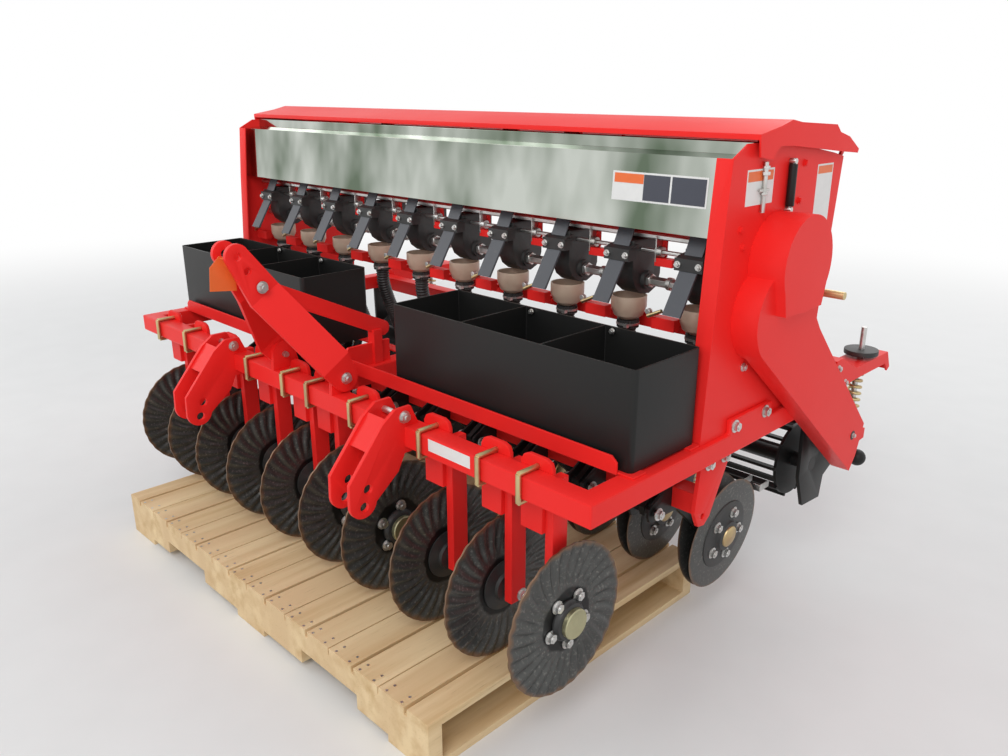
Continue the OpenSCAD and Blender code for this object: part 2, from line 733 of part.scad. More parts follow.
pallet();
main_frame();
hitch_mast();
mast_brace();
for (side = [-1, 1]) hitch_bracket(side);  // hitch_brackets
coulter_shanks();
shank_clamps();
clamp_bolts();
for (x = [box_left_x, box_right_x]) ballast_box(x);  // ballast_boxes
box_shelf();
for (side = [-1, 1]) end_plate(side);  // end_plates
front_panel();
hopper_trough();
meter_housings();
seed_cups();
meter_shafts();
shutter_plates();
seed_hoses();
opener_bar();
opener_arms();
down_springs();
chain_case();
rate_adjuster();
roller_arms();
spring_brackets();
hand_wheels();
gas_strut();
lid_latch();
lid();
cage_roller();
for (i = [1:rows])
    coulter(i);
for (i = [1:rows]) {
    opener_disc(i, -1);
    opener_disc(i, 1);
}
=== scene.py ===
"""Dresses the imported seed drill: finishes, wavy coulters, openers, hoses, springs, fasteners and labels."""

import logging
import math
from dataclasses import dataclass, field
from enum import Enum
from itertools import product
from typing import Callable, Iterable, Sequence

import bmesh
import bpy
from mathutils import Matrix, Vector


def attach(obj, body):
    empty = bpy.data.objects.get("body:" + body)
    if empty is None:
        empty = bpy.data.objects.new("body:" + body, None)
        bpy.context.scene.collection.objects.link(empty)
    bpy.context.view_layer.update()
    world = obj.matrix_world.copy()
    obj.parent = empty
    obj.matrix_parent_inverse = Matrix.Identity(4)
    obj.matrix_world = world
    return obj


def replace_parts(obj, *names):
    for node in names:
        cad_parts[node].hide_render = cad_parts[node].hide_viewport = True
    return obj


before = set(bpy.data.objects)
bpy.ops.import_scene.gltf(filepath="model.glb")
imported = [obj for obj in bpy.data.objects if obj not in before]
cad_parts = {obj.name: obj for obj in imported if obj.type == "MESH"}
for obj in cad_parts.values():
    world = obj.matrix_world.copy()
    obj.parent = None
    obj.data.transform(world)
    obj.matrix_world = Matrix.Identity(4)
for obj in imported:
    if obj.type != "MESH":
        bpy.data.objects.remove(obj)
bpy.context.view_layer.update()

LOG = logging.getLogger("seed_drill")
Point = tuple[float, float, float]
Pair = tuple[float, float]
Spot = tuple[Point, Point]
Rectangle = tuple[float, float, float, float]

FULL_TURN = 2 * math.pi
ROOT = "drill"

# Rows, counted from 1 at the left, and where the part's source has what the new pieces sit on
ROWS = 10
ROW_NUMBERS = range(1, ROWS + 1)
ROW_PITCH = 0.190
COULTER_AXIS = (0.078, 0.3003)
OPENER_AXIS = (0.668, 0.2773)
OPENER_HALF = 0.0176
OPENER_LEAN = math.radians(5)
METER_OFFSET = 0.015
CUP_Y = 0.480
ARM_X = 0.932
PLATE_X = 0.963
# 1 where a row's shank stands at the right of its disc, -1 at the left
SHANK_SIDE = (1, 1, 1, 1, 1, -1, -1, 1, 1, -1)
SHANK_OFFSET = 0.036


def row_x(index: int) -> float:
    """X of a seed row, counted from 1 at the left."""
    return (index - (ROWS + 1) / 2) * ROW_PITCH


def shank_x(index: int) -> float:
    """X of the middle of a row's shank."""
    return row_x(index) + SHANK_SIDE[index - 1] * SHANK_OFFSET


def row_name(index: int) -> str:
    """Two-digit number of a row, as the nodes are named."""
    return f"{index:02d}"


def circle(count: int, radius: float, start: float) -> list[Pair]:
    """Points spaced evenly round a circle.

    Args:
        count: number of points.
        radius: radius of the circle.
        start: angle of the first point in radians.

    Returns:
        The points.
    """
    angles = [start + k * FULL_TURN / count for k in range(count)]
    return [(radius * math.cos(angle), radius * math.sin(angle)) for angle in angles]


class Slot(Enum):
    """Names of material slots, one for each kind of finish."""

    RED = "red_paint"
    BLACK = "black_paint"
    GREY = "grey_paint"
    STAINLESS = "stainless"
    DISC = "dark_steel"
    ZINC = "zinc"
    YELLOW_ZINC = "yellow_zinc"
    BLACK_PLASTIC = "black_plastic"
    TAN_PLASTIC = "tan_plastic"
    HOSE = "hose_rubber"
    PINE = "pine"


class Graph:
    """Short calls that add and join the nodes of a tree."""

    def __init__(self, tree: bpy.types.NodeTree) -> None:
        """Keeps the tree.

        Args:
            tree: the node tree under construction.
        """
        self.tree = tree

    def add(self, kind: str, **settings: object) -> bpy.types.Node:
        """Adds a node and sets its properties.

        Args:
            kind: the node's type.
            settings: values of its properties.

        Returns:
            The node.
        """
        node = self.tree.nodes.new(kind)
        for key, value in settings.items():
            setattr(node, key, value)
        return node

    def link(self, a: bpy.types.Node, out: str | int, b: bpy.types.Node, into: str | int) -> None:
        """Joins an output to an input."""
        self.tree.links.new(a.outputs[out], b.inputs[into])


class Canvas(Graph):
    """A material's node tree, with short calls for the nodes that the finishes share."""

    def __init__(self, name: str) -> None:
        """Starts an empty tree with a shader and an output.

        Args:
            name: the material's name.
        """
        self.material = bpy.data.materials.new(name)
        self.material.use_nodes = True
        super().__init__(self.material.node_tree)
        self.tree.nodes.clear()
        self.output = self.add("ShaderNodeOutputMaterial")
        self.shader = self.add("ShaderNodeBsdfPrincipled")
        self.link(self.shader, "BSDF", self.output, "Surface")
        self.coordinates = self.add("ShaderNodeTexCoord")

    def stretched(self, scale: Point) -> bpy.types.Node:
        """Object coordinates scaled along each axis.

        Args:
            scale: scale along X, Y and Z.

        Returns:
            The mapping node.
        """
        node = self.add("ShaderNodeMapping")
        node.inputs["Scale"].default_value = scale
        self.link(self.coordinates, "Object", node, "Vector")
        return node

    def noise(self, scale: float, detail: float = 3.0, stretch: Point = (1, 1, 1)) -> bpy.types.Node:
        """A noise texture on object coordinates.

        Args:
            scale: waves per metre, about.
            detail: octaves.
            stretch: scale of the coordinates along each axis.

        Returns:
            The noise node, whose Fac output is from 0 to 1.
        """
        node = self.add("ShaderNodeTexNoise")
        node.inputs["Scale"].default_value = scale
        node.inputs["Detail"].default_value = detail
        self.link(self.stretched(stretch), "Vector", node, "Vector")
        return node

    def ramp(self, source: bpy.types.Node, out: str, low: float, high: float) -> bpy.types.Node:
        """Maps a value between two thresholds to 0 to 1.

        Args:
            source: node with the value.
            out: name of its output.
            low: value that becomes 0.
            high: value that becomes 1.

        Returns:
            The node; its output is Result.
        """
        node = self.add("ShaderNodeMapRange")
        node.inputs["From Min"].default_value = low
        node.inputs["From Max"].default_value = high
        self.link(source, out, node, "Value")
        return node

    def mix(self, share: bpy.types.Node, out: str, first: object, second: object) -> bpy.types.Node:
        """Mixes two colours, given as values or as mix nodes.

        Args:
            share: node whose output is the share of the second colour.
            out: name of that output.
            first: colour at 0, or a mix node.
            second: colour at 1, or a mix node.

        Returns:
            The mix node; its colour is output 2.
        """
        node = self.add("ShaderNodeMix", data_type="RGBA")
        self.link(share, out, node, 0)
        for index, colour in ((6, first), (7, second)):
            if isinstance(colour, bpy.types.Node):
                self.link(colour, 2, node, index)
            else:
                node.inputs[index].default_value = (*colour, 1.0)
        return node

    def bump(self, sources: Sequence[tuple[bpy.types.Node, str, float]]) -> None:
        """Chains bumps into the shader's normal.

        Args:
            sources: height node, its output's name, and the height in metres.
        """
        last = None
        for source, out, height in sources:
            node = self.add("ShaderNodeBump")
            node.inputs["Distance"].default_value = height
            node.inputs["Strength"].default_value = 1.0
            self.link(source, out, node, "Height")
            if last is not None:
                self.link(last, "Normal", node, "Normal")
            last = node
        if last is not None:
            self.link(last, "Normal", self.shader, "Normal")

    def set(self, **sockets: float | tuple) -> None:
        """Sets sockets of the shader by name, with _ for a space."""
        for key, value in sockets.items():
            self.shader.inputs[key.replace("_", " ")].default_value = value

    def tint(self, colour: bpy.types.Node) -> None:
        """Gives the shader its base colour."""
        self.link(colour, 2, self.shader, "Base Color")

    def gloss(self, source: bpy.types.Node, out: str, low: float, high: float) -> None:
        """Varies the roughness between two values.

        Args:
            source: node that says where the surface is duller.
            out: name of its output.
            low: roughness at 0.
            high: roughness at 1.
        """
        node = self.add("ShaderNodeMapRange")
        node.inputs["To Min"].default_value = low
        node.inputs["To Max"].default_value = high
        self.link(source, out, node, "Value")
        self.link(node, "Result", self.shader, "Roughness")


@dataclass(frozen=True)
class Paint:
    """Sprayed or powder-coated colour with a fine orange peel and a little dust.

    Attributes:
        name: the material's name.
        colour: linear base colour.
        shade: colour of the duller patches.
        rough: roughness of the cleanest patches.
        coat: weight of the clear coat.
        dust: share of pale dust at most.
        ior: index of refraction, which sets how much white the colour reflects.
        dust_colour: colour of the dust.
        duller: what the dullest patches add to the roughness.
        peel: depth of the orange peel in metres.
        sag: depth of the wide waves in metres.
    """

    name: str
    colour: Point
    shade: Point
    rough: float
    coat: float
    dust: float
    ior: float = 1.45
    dust_colour: Point = (0.36, 0.31, 0.25)
    duller: float = 0.14
    peel: float = 0.00006
    sag: float = 0.00025

    def material(self) -> bpy.types.Material:
        """Builds the node tree.

        Returns:
            The material.
        """
        c = Canvas(self.name)
        patches = c.noise(3.0, 4.0)
        grit = c.noise(60.0, 5.0)
        tone = c.mix(patches, "Fac", self.colour, self.shade)
        dusty = c.ramp(grit, "Fac", 0.62, 0.62 + 0.25 / max(self.dust * 8, 0.1))
        cap = c.add("ShaderNodeMath", operation="MULTIPLY")
        c.link(dusty, "Result", cap, 0)
        cap.inputs[1].default_value = self.dust
        c.tint(c.mix(cap, "Value", tone, self.dust_colour))
        c.gloss(patches, "Fac", self.rough, self.rough + self.duller)
        c.bump([(c.noise(420.0, 1.0), "Fac", self.peel), (c.noise(22.0, 2.0), "Fac", self.sag)])
        c.set(Coat_Weight=self.coat, Coat_Roughness=0.12, IOR=self.ior)
        return c.material


@dataclass(frozen=True)
class Steel:
    """Plated steel.

    Attributes:
        name: the material's name.
        colour: linear base colour.
        stain: colour of the stained patches.
        rough: lowest roughness.
        duller: what the dullest marks add to the roughness.
        relief: depth of the marks in metres.
    """

    name: str
    colour: Point
    stain: Point
    rough: float = 0.30
    duller: float = 0.22
    relief: float = 0.00004

    def material(self) -> bpy.types.Material:
        """Builds the node tree.

        Returns:
            The material.
        """
        c = Canvas(self.name)
        clouds = c.noise(14.0, 5.0)
        marks = c.noise(240.0, 3.0)
        c.tint(c.mix(c.ramp(clouds, "Fac", 0.42, 0.66), "Result", self.colour, self.stain))
        c.gloss(marks, "Fac", self.rough, self.rough + self.duller)
        c.bump([(marks, "Fac", self.relief)])
        c.set(Metallic=1.0)
        return c.material


@dataclass(frozen=True)
class PolishedSheet:
    """Polished stainless sheet with wide waves, whose colour holds painted reflections of sky and ground in
    upright streaks.

    Attributes:
        name: the material's name.
        colour: linear colour of the painted reflection of the sky, in the lighter streaks.
        painted_ground_reflection: linear colour of the painted reflection of the ground, in the darker
            streaks.
        rough: lowest roughness.
        duller: what the polishing marks add to the roughness.
        relief: depth of the polishing marks in metres.
        waves: depth of the wide waves in metres.
    """

    name: str
    colour: Point
    painted_ground_reflection: Point
    rough: float = 0.05
    duller: float = 0.06
    relief: float = 0.000006
    waves: float = 0.0012

    def material(self) -> bpy.types.Material:
        """Builds the node tree.

        Returns:
            The material.
        """
        c = Canvas(self.name)
        streaks = c.noise(4.6, 3.0, (1.0, 1.0, 0.45))
        marks = c.noise(240.0, 3.0, (0.02, 1, 1))
        # The base colour holds painted reflections: the sky's in the lighter streaks, the ground's in the
        # darker ones.
        c.tint(c.mix(c.ramp(streaks, "Fac", 0.42, 0.66), "Result", self.colour, self.painted_ground_reflection))
        c.gloss(marks, "Fac", self.rough, self.rough + self.duller)
        c.bump([(marks, "Fac", self.relief), (c.noise(5.0, 1.0), "Fac", self.waves)])
        c.set(Metallic=1.0)
        return c.material


@dataclass(frozen=True)
class DiscSteel:
    """Dark lacquered disc steel that has rusted brown along its rim.

    Attributes:
        name: the material's name.
        axle: Y and Z of the disc's axle.
        radius: radius of the disc.
        rim: width of the rusty rim.
        centre: radius of the black painted middle.
        lacquer: colour of the lacquer.
        thin: colour where the lacquer is thin.
        worn: colour of the worn streaks.
        paint: colour of the painted middle.
        rust: colour of the rim.
        ragged: how far the rim's edge wanders.
    """

    name: str
    axle: Pair
    radius: float
    rim: float
    centre: float = 0.0
    lacquer: Point = (0.050, 0.052, 0.050)
    thin: Point = (0.110, 0.110, 0.104)
    worn: Point = (0.20, 0.195, 0.18)
    paint: Point = (0.012, 0.012, 0.012)
    rust: Point = (0.190, 0.115, 0.070)
    ragged: float = 0.020

    def material(self) -> bpy.types.Material:
        """Builds the node tree.

        Returns:
            The material.
        """
        c = Canvas(self.name)
        centred = c.add("ShaderNodeMapping")
        centred.inputs["Location"].default_value = (0.0, -self.axle[0], -self.axle[1])
        centred.inputs["Scale"].default_value = (0.0, 1.0, 1.0)
        c.link(c.coordinates, "Object", centred, "Vector")
        reach = c.add("ShaderNodeVectorMath", operation="LENGTH")
        c.link(centred, "Vector", reach, 0)
        clouds = c.noise(30.0, 6.0)
        streaks = c.noise(160.0, 4.0)
        edge = c.add("ShaderNodeMath", operation="MULTIPLY_ADD")
        c.link(clouds, "Fac", edge, 0)
        edge.inputs[1].default_value = self.ragged
        c.link(reach, "Value", edge, 2)
        rusty = c.ramp(edge, "Value", self.radius - self.rim + 0.006, self.radius + 0.008)
        body = c.mix(clouds, "Fac", self.lacquer, self.thin)
        scraped = c.mix(c.ramp(streaks, "Fac", 0.56, 0.74), "Result", body, self.worn)
        outer = c.ramp(edge, "Value", self.centre + 0.006, self.centre + 0.012)
        c.tint(c.mix(rusty, "Result", c.mix(outer, "Result", self.paint, scraped), self.rust))
        c.gloss(clouds, "Fac", 0.28, 0.50)
        c.bump([(streaks, "Fac", 0.0001), (clouds, "Fac", 0.0003)])
        c.set(Metallic=0.55)
        return c.material


@dataclass(frozen=True)
class Moulded:
    """Rubber or moulded plastic.

    Attributes:
        name: the material's name.
        colour: linear base colour.
        scuff: colour of the scuffed and dusty patches.
        rough: lowest roughness.
        duller: what the dullest patches add to the roughness.
        relief: depth of the grain in metres.
        glow: share of light let through.
    """

    name: str
    colour: Point
    scuff: Point
    rough: float
    duller: float = 0.25
    relief: float = 0.0001
    glow: float = 0.0

    def material(self) -> bpy.types.Material:
        """Builds the node tree.

        Returns:
            The material.
        """
        c = Canvas(self.name)
        clouds = c.noise(18.0, 6.0)
        grain = c.noise(300.0, 3.0)
        c.tint(c.mix(c.ramp(clouds, "Fac", 0.46, 0.78), "Result", self.colour, self.scuff))
        c.gloss(clouds, "Fac", self.rough, self.rough + self.duller)
        c.bump([(grain, "Fac", self.relief)])
        if self.glow:
            c.set(Transmission_Weight=self.glow, IOR=1.45)
        return c.material


@dataclass(frozen=True)
class Pine:
    """Rough sawn pine whose grain runs along Y.

    Attributes:
        name: the material's name.
        pale: colour of the early wood.
        dark: colour of the late wood.
        board: colour of the darker boards.
        fibre: colour of the torn fibres.
        grain: stretch of the figure along the boards.
    """

    name: str
    pale: Point = (0.82, 0.63, 0.37)
    dark: Point = (0.60, 0.40, 0.19)
    board: Point = (0.70, 0.50, 0.28)
    fibre: Point = (0.40, 0.26, 0.14)
    grain: Point = (1.0, 0.06, 1.0)

    def material(self) -> bpy.types.Material:
        """Builds the node tree.

        Returns:
            The material.
        """
        c = Canvas(self.name)
        figure = c.noise(26.0, 5.0, self.grain)
        fibres = c.noise(260.0, 4.0, self.grain)
        boards = c.noise(1.6, 1.0, (6.0, 0.2, 1.0))
        wood = c.mix(c.ramp(figure, "Fac", 0.40, 0.70), "Result", self.pale, self.dark)
        shade = c.mix(c.ramp(boards, "Fac", 0.35, 0.65), "Result", wood, self.board)
        c.tint(c.mix(c.ramp(fibres, "Fac", 0.62, 0.86), "Result", shade, self.fibre))
        c.gloss(fibres, "Fac", 0.62, 0.85)
        c.bump([(fibres, "Fac", 0.0005), (figure, "Fac", 0.0006)])
        return c.material


@dataclass(frozen=True)
class Film:
    """Plain film of a blank sticker or tag.

    Attributes:
        name: the material's name.
        colour: linear colour.
        fade: share of the colour that is left where it has faded.
    """

    name: str
    colour: Point
    fade: float = 0.88

    def material(self) -> bpy.types.Material:
        """Builds the node tree.

        Returns:
            The material.
        """
        c = Canvas(self.name)
        patches = c.noise(40.0, 2.0)
        faded = tuple(value * self.fade for value in self.colour)
        c.tint(c.mix(patches, "Fac", self.colour, faded))
        c.gloss(patches, "Fac", 0.3, 0.5)
        return c.material


class Finish:
    """Every finish of the drill, built once."""

    def __init__(self) -> None:
        """Builds the materials."""
        red, red_shade = (0.900, 0.028, 0.024), (0.815, 0.020, 0.018)
        black, black_shade = (0.010, 0.010, 0.010), (0.016, 0.016, 0.015)
        grey, grey_shade = (0.075, 0.080, 0.092), (0.055, 0.058, 0.066)
        self.red = Paint("red_powder_coat", red, red_shade, 0.32, 0.0, 0.04, 1.25).material()
        self.black = Paint("black_powder_coat", black, black_shade, 0.34, 0.0, 0.04, 1.33).material()
        self.grey = Paint("grey_paint", grey, grey_shade, 0.44, 0.05, 0.10).material()

        # Painted reflections for the stainless sheet's colour: the sky's, lighter, and the ground's, darker.
        sky, ground = (0.56, 0.59, 0.54), (0.13, 0.17, 0.12)
        self.stainless = PolishedSheet("polished_stainless", sky, ground).material()
        self.zinc = Steel("clear_zinc", (0.66, 0.66, 0.65), (0.50, 0.49, 0.46)).material()
        self.yellow_zinc = Steel("yellow_zinc", (0.62, 0.50, 0.26), (0.50, 0.36, 0.20)).material()
        self.cap = Steel("drab_zinc", (0.50, 0.48, 0.30), (0.40, 0.38, 0.24), 0.34).material()
        self.coulter = DiscSteel("coulter_steel", COULTER_AXIS, 0.173, 0.007, 0.074).material()
        self.opener = DiscSteel("opener_steel", OPENER_AXIS, 0.152, 0.006).material()

        rubber, rubber_scuff = (0.018, 0.018, 0.018), (0.045, 0.043, 0.040)
        plastic, plastic_scuff = (0.022, 0.022, 0.022), (0.050, 0.048, 0.045)
        tan, tan_scuff = (0.66, 0.50, 0.38), (0.52, 0.33, 0.24)
        self.hose = Moulded("corrugated_hose", rubber, rubber_scuff, 0.42).material()
        self.plastic = Moulded("black_moulding", plastic, plastic_scuff, 0.36).material()
        self.tan = Moulded("tan_cup", tan, tan_scuff, 0.26, relief=0.00005, glow=0.20).material()

        self.pine = Pine("pine_along_y").material()
        self.white_film = Film("white_film", (0.80, 0.80, 0.78)).material()
        self.orange_film = Film("orange_film", (0.85, 0.16, 0.03)).material()
        self.dark_film = Film("dark_film", (0.050, 0.055, 0.075)).material()


class Shape:
    """A mesh under construction, in metres."""

    def __init__(self) -> None:
        """Starts with an empty mesh."""
        self.bm = bmesh.new()

    def box(self, low: Point, high: Point) -> "Shape":
        """Adds a box.

        Args:
            low: its lowest corner.
            high: its highest corner.

        Returns:
            This shape.
        """
        made = bmesh.ops.create_cube(self.bm, size=1.0)["verts"]
        centre = [(a + b) / 2 for a, b in zip(low, high)]
        size = [b - a for a, b in zip(low, high)]
        bmesh.ops.scale(self.bm, vec=size, verts=made)
        bmesh.ops.translate(self.bm, vec=centre, verts=made)
        return self

    def lathe_x(self, profile: Sequence[Pair], y: float, z: float, steps: int = 40) -> "Shape":
        """Turns a closed profile of (x, radius) points round an axis along X.

        Args:
            profile: points in order round the section; radius above 0.
            y: Y of the axis.
            z: Z of the axis.
            steps: faces round the axis.

        Returns:
            This shape.
        """
        rings = []
        for across, up in circle(steps, 1.0, 0.0):
            rings.append([self.bm.verts.new((x, y + r * across, z + r * up)) for x, r in profile])
        for step in range(steps):
            near, far = rings[step], rings[(step + 1) % steps]
            for k in range(len(profile)):
                m = (k + 1) % len(profile)
                self.bm.faces.new((near[k], near[m], far[m], far[k]))
        return self

    def prism(self, outline: Sequence[Pair], low: float, high: float, axis: int) -> "Shape":
        """Extrudes a flat outline along an axis.

        Args:
            outline: points in the plane of the two other axes, in X, Y, Z order.
            low: start along the axis.
            high: end along the axis.
            axis: 0, 1 or 2.

        Returns:
            This shape.
        """
        def place(p: Pair, depth: float) -> Point:
            """A point of the outline at a depth along the axis."""
            return (*p[:axis], depth, *p[axis:])

        bottom = [self.bm.verts.new(place(p, low)) for p in outline]
        top = [self.bm.verts.new(place(p, high)) for p in outline]
        self.bm.faces.new(bottom)
        self.bm.faces.new(top)
        for k in range(len(outline)):
            m = (k + 1) % len(outline)
            self.bm.faces.new((bottom[k], bottom[m], top[m], top[k]))
        return self

    def moved(self, place: Matrix) -> "Shape":
        """Moves all that was built so far."""
        self.bm.transform(place)
        return self

    def cone(self, start: Point, end: Point, radius: float, sides: int = 16) -> "Shape":
        """Adds a closed round or faceted bar between two points.

        Args:
            start: middle of one end.
            end: middle of the other end.
            radius: its radius.
            sides: faces round it.

        Returns:
            This shape.
        """
        a, b = Vector(start), Vector(end)
        made = bmesh.ops.create_cone(
            self.bm, cap_ends=True, segments=sides, radius1=radius, radius2=radius, depth=(b - a).length
        )["verts"]
        turn = (b - a).to_track_quat("Z", "Y").to_matrix().to_4x4()
        bmesh.ops.transform(self.bm, matrix=Matrix.Translation((a + b) / 2) @ turn, verts=made)
        return self

    def soften(self, width: float, segments: int = 2, angle: float = 30.0) -> "Shape":
        """Rounds the edges sharper than an angle.

        Args:
            width: width of the rounding in metres.
            segments: faces across it.
            angle: smallest angle between two faces that is rounded, in degrees.

        Returns:
            This shape.
        """
        self.bm.normal_update()
        limit = math.radians(angle)
        sharp = {e for e in self.bm.edges if len(e.link_faces) == 2 and e.calc_face_angle(0) > limit}
        # Index 1 marks the flat faces that keep flat shading beside the rounding
        for face in self.bm.faces:
            face.material_index = int(all(e in sharp for e in face.edges))
        if sharp:
            bmesh.ops.bevel(
                self.bm, geom=list(sharp), offset=width, segments=segments, affect="EDGES",
                profile=0.6, clamp_overlap=True, material=0
            )
        return self

    def finish(
        self, name: str, material: bpy.types.Material, body: str, slot: Slot, crease: float = 40.0
    ) -> bpy.types.Object:
        """Makes the object, dresses it and lets it ride on its body.

        Args:
            name: the piece's name.
            material: its finish.
            body: the CAD body that it rides on.
            slot: not used.
            crease: edges sharper than this stay hard, in degrees.

        Returns:
            The new object.
        """
        bmesh.ops.recalc_face_normals(self.bm, faces=self.bm.faces)
        limit = math.radians(crease)
        for face in self.bm.faces:
            face.smooth = face.material_index == 0
            face.material_index = 0
        for edge in self.bm.edges:
            edge.smooth = len(edge.link_faces) == 2 and edge.calc_face_angle(0) < limit
        mesh = bpy.data.meshes.new(name)
        self.bm.to_mesh(mesh)
        self.bm.free()
        mesh.materials.append(material)
        return dress(bpy.data.objects.new(name, mesh), body)


def dress(piece: bpy.types.Object, body: str) -> bpy.types.Object:
    """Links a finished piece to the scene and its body.

    Args:
        piece: the piece.
        body: the CAD body that it rides on.

    Returns:
        The piece.
    """
    if not piece.users_collection:
        bpy.context.scene.collection.objects.link(piece)
    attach(piece, body)
    LOG.info("%s rides on %s, %d faces", piece.name, body, len(piece.data.polygons))
    return piece


@dataclass(frozen=True)
class Accent:
    """Faces of a CAD node that have a finish of their own.

    Attributes:
        node: the CAD node.
        material: the finish of those faces.
        slot: its material slot.
        covers: tells whether a corner lies in the accent; a face is covered when all its corners do.
    """

    node: str
    material: bpy.types.Material
    slot: Slot
    covers: Callable[[Vector], bool]


def node_shape(node: str, tests: Sequence[Callable[[Vector], bool]], wanted: bool) -> Shape:
    """Takes over faces of a CAD node, merged.

    Args:
        node: the CAD node.
        tests: a face is covered when all its corners pass one of them.
        wanted: whether the covered faces are taken, or the others.

    Returns:
        The shape.
    """
    weld, flat = 0.00002, math.radians(0.5)
    shape = Shape()
    bm = shape.bm
    bm.from_mesh(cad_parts[node].data)
    bmesh.ops.remove_doubles(bm, verts=bm.verts, dist=weld)
    bmesh.ops.dissolve_limit(bm, angle_limit=flat, verts=bm.verts, edges=bm.edges)
    lost = []
    for face in bm.faces:
        covered = any(all(test(corner.co) for corner in face.verts) for test in tests)
        if covered != wanted:
            lost.append(face)
    if lost:
        bmesh.ops.delete(bm, geom=lost, context="FACES")
    return shape


@dataclass(frozen=True)
class Coat:
    """How a CAD node is dressed.

    Attributes:
        material: its finish.
        slot: its material slot.
        width: width of the rounding of its edges in metres.
        body: the body that the node rides on.
    """

    material: bpy.types.Material
    slot: Slot
    width: float
    body: str = ROOT


def rounded_copy(node: str, coat: Coat, accents: Sequence[Accent]) -> None:
    """Copies a CAD node's shape with its faces merged and its edges rounded, and lets the copy stand for it.

    Args:
        node: the CAD node.
        coat: the copy's finish, rounding and body.
        accents: every accent; those of other nodes are passed over.
    """
    accent_width = 0.001
    own = [accent for accent in accents if accent.node == node]
    shape = node_shape(node, [accent.covers for accent in own], False)
    piece = shape.soften(coat.width).finish(f"{node}_dressed", coat.material, coat.body, coat.slot)
    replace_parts(piece, node)
    for number, accent in enumerate(own):
        part = node_shape(node, [accent.covers], True).soften(min(coat.width, accent_width))
        part.finish(f"{node}_accent_{number}", accent.material, coat.body, accent.slot)


def near_axis(first: float, second: float, reach: float, axis: int = 0) -> Callable[[Vector], bool]:
    """A test for points within a reach of a line along an axis.

    Args:
        first: the line's first other coordinate.
        second: its second other coordinate.
        reach: radius of the test.
        axis: 0, 1 or 2.

    Returns:
        The test.
    """
    def test(corner: Vector) -> bool:
        """Whether the point is near the line."""
        across = [value for index, value in enumerate(corner) if index != axis]
        return math.hypot(across[0] - first, across[1] - second) < reach

    return test


class NodeGraph(Graph):
    """A geometry tree under construction, whose output is one mesh with one material."""

    def __init__(self, name: str, sizes: dict[str, float], material: bpy.types.Material) -> None:
        """Starts a tree with a geometry input and named size inputs.

        Args:
            name: the tree's name.
            sizes: name and default of each size input.
            material: what Set Material gives the result.
        """
        super().__init__(bpy.data.node_groups.new(name, "GeometryNodeTree"))
        self.material = material
        face = self.tree.interface
        face.new_socket("Geometry", in_out="INPUT", socket_type="NodeSocketGeometry")
        for label, value in sizes.items():
            face.new_socket(label, in_out="INPUT", socket_type="NodeSocketFloat").default_value = value
        face.new_socket("Geometry", in_out="OUTPUT", socket_type="NodeSocketGeometry")
        self.inputs = self.add("NodeGroupInput")
        self.outputs = self.add("NodeGroupOutput")

    def math(self, operation: str, a: object, b: object = 0.0) -> bpy.types.Node:
        """A maths node.

        Args:
            operation: what it works out.
            a: a number, or a node and its output.
            b: a number, or a node and its output.

        Returns:
            The node; its result is output 0.
        """
        node = self.add("ShaderNodeMath", operation=operation)
        for index, value in enumerate((a, b)):
            if isinstance(value, tuple):
                self.link(value[0], value[1], node, index)
            else:
                node.inputs[index].default_value = value
        return node

    def ease(self, source: bpy.types.Node, start: float, end: float, first: float = 0.0) -> bpy.types.Node:
        """A value that runs softly to 1 between two thresholds.

        Args:
            source: node with the value on output 0.
            start: threshold where the result begins to change.
            end: threshold where it reaches 1.
            first: the result at the start.

        Returns:
            The node; its output is Result.
        """
        node = self.add("ShaderNodeMapRange", interpolation_type="SMOOTHSTEP")
        self.link(source, 0, node, "Value")
        node.inputs["From Min"].default_value = start
        node.inputs["From Max"].default_value = end
        node.inputs["To Min"].default_value = first
        return node

    def ring(self, radius: str, sides: int) -> bpy.types.Node:
        """A circle for sweeping along a curve.

        Args:
            radius: name of the size input with its radius.
            sides: its sides.

        Returns:
            The node; its output is Curve.
        """
        node = self.add("GeometryNodeCurvePrimitiveCircle")
        node.inputs["Resolution"].default_value = sides
        self.link(self.inputs, radius, node, "Radius")
        return node

    def sweep(self, path: bpy.types.Node, out: str, ring: bpy.types.Node) -> bpy.types.Node:
        """A closed tube along a curve.

        Args:
            path: node with the curve.
            out: name of its output.
            ring: node with the section.

        Returns:
            The node; its output is Mesh.
        """
        node = self.add("GeometryNodeCurveToMesh")
        node.inputs["Fill Caps"].default_value = True
        self.link(path, out, node, "Curve")
        self.link(ring, "Curve", node, "Profile Curve")
        return node

    def instances(self, part: bpy.types.Node, out: str) -> bpy.types.Node:
        """Sets a geometry on every input point, its Z turned to the point's facing attribute.

        Args:
            part: node with the geometry.
            out: name of its output.

        Returns:
            The node; its output is Instances.
        """
        facing = self.add("GeometryNodeInputNamedAttribute", data_type="FLOAT_VECTOR")
        facing.inputs["Name"].default_value = "facing"
        turn = self.add("FunctionNodeAlignRotationToVector", axis="Z")
        self.link(facing, "Attribute", turn, "Vector")
        set_on = self.add("GeometryNodeInstanceOnPoints")
        self.link(self.inputs, "Geometry", set_on, "Points")
        self.link(part, out, set_on, "Instance")
        self.link(turn, "Rotation", set_on, "Rotation")
        return set_on

    def close(self, last: bpy.types.Node, out: str | int) -> bpy.types.NodeTree:
        """Ends the tree in Realize Instances and Set Material.

        Args:
            last: node with the finished geometry.
            out: its output.

        Returns:
            The tree.
        """
        real = self.add("GeometryNodeRealizeInstances")
        self.link(last, out, real, "Geometry")
        paint = self.add("GeometryNodeSetMaterial")
        paint.inputs["Material"].default_value = self.material
        self.link(real, "Geometry", paint, "Geometry")
        self.link(paint, "Geometry", self.outputs, "Geometry")
        return self.tree


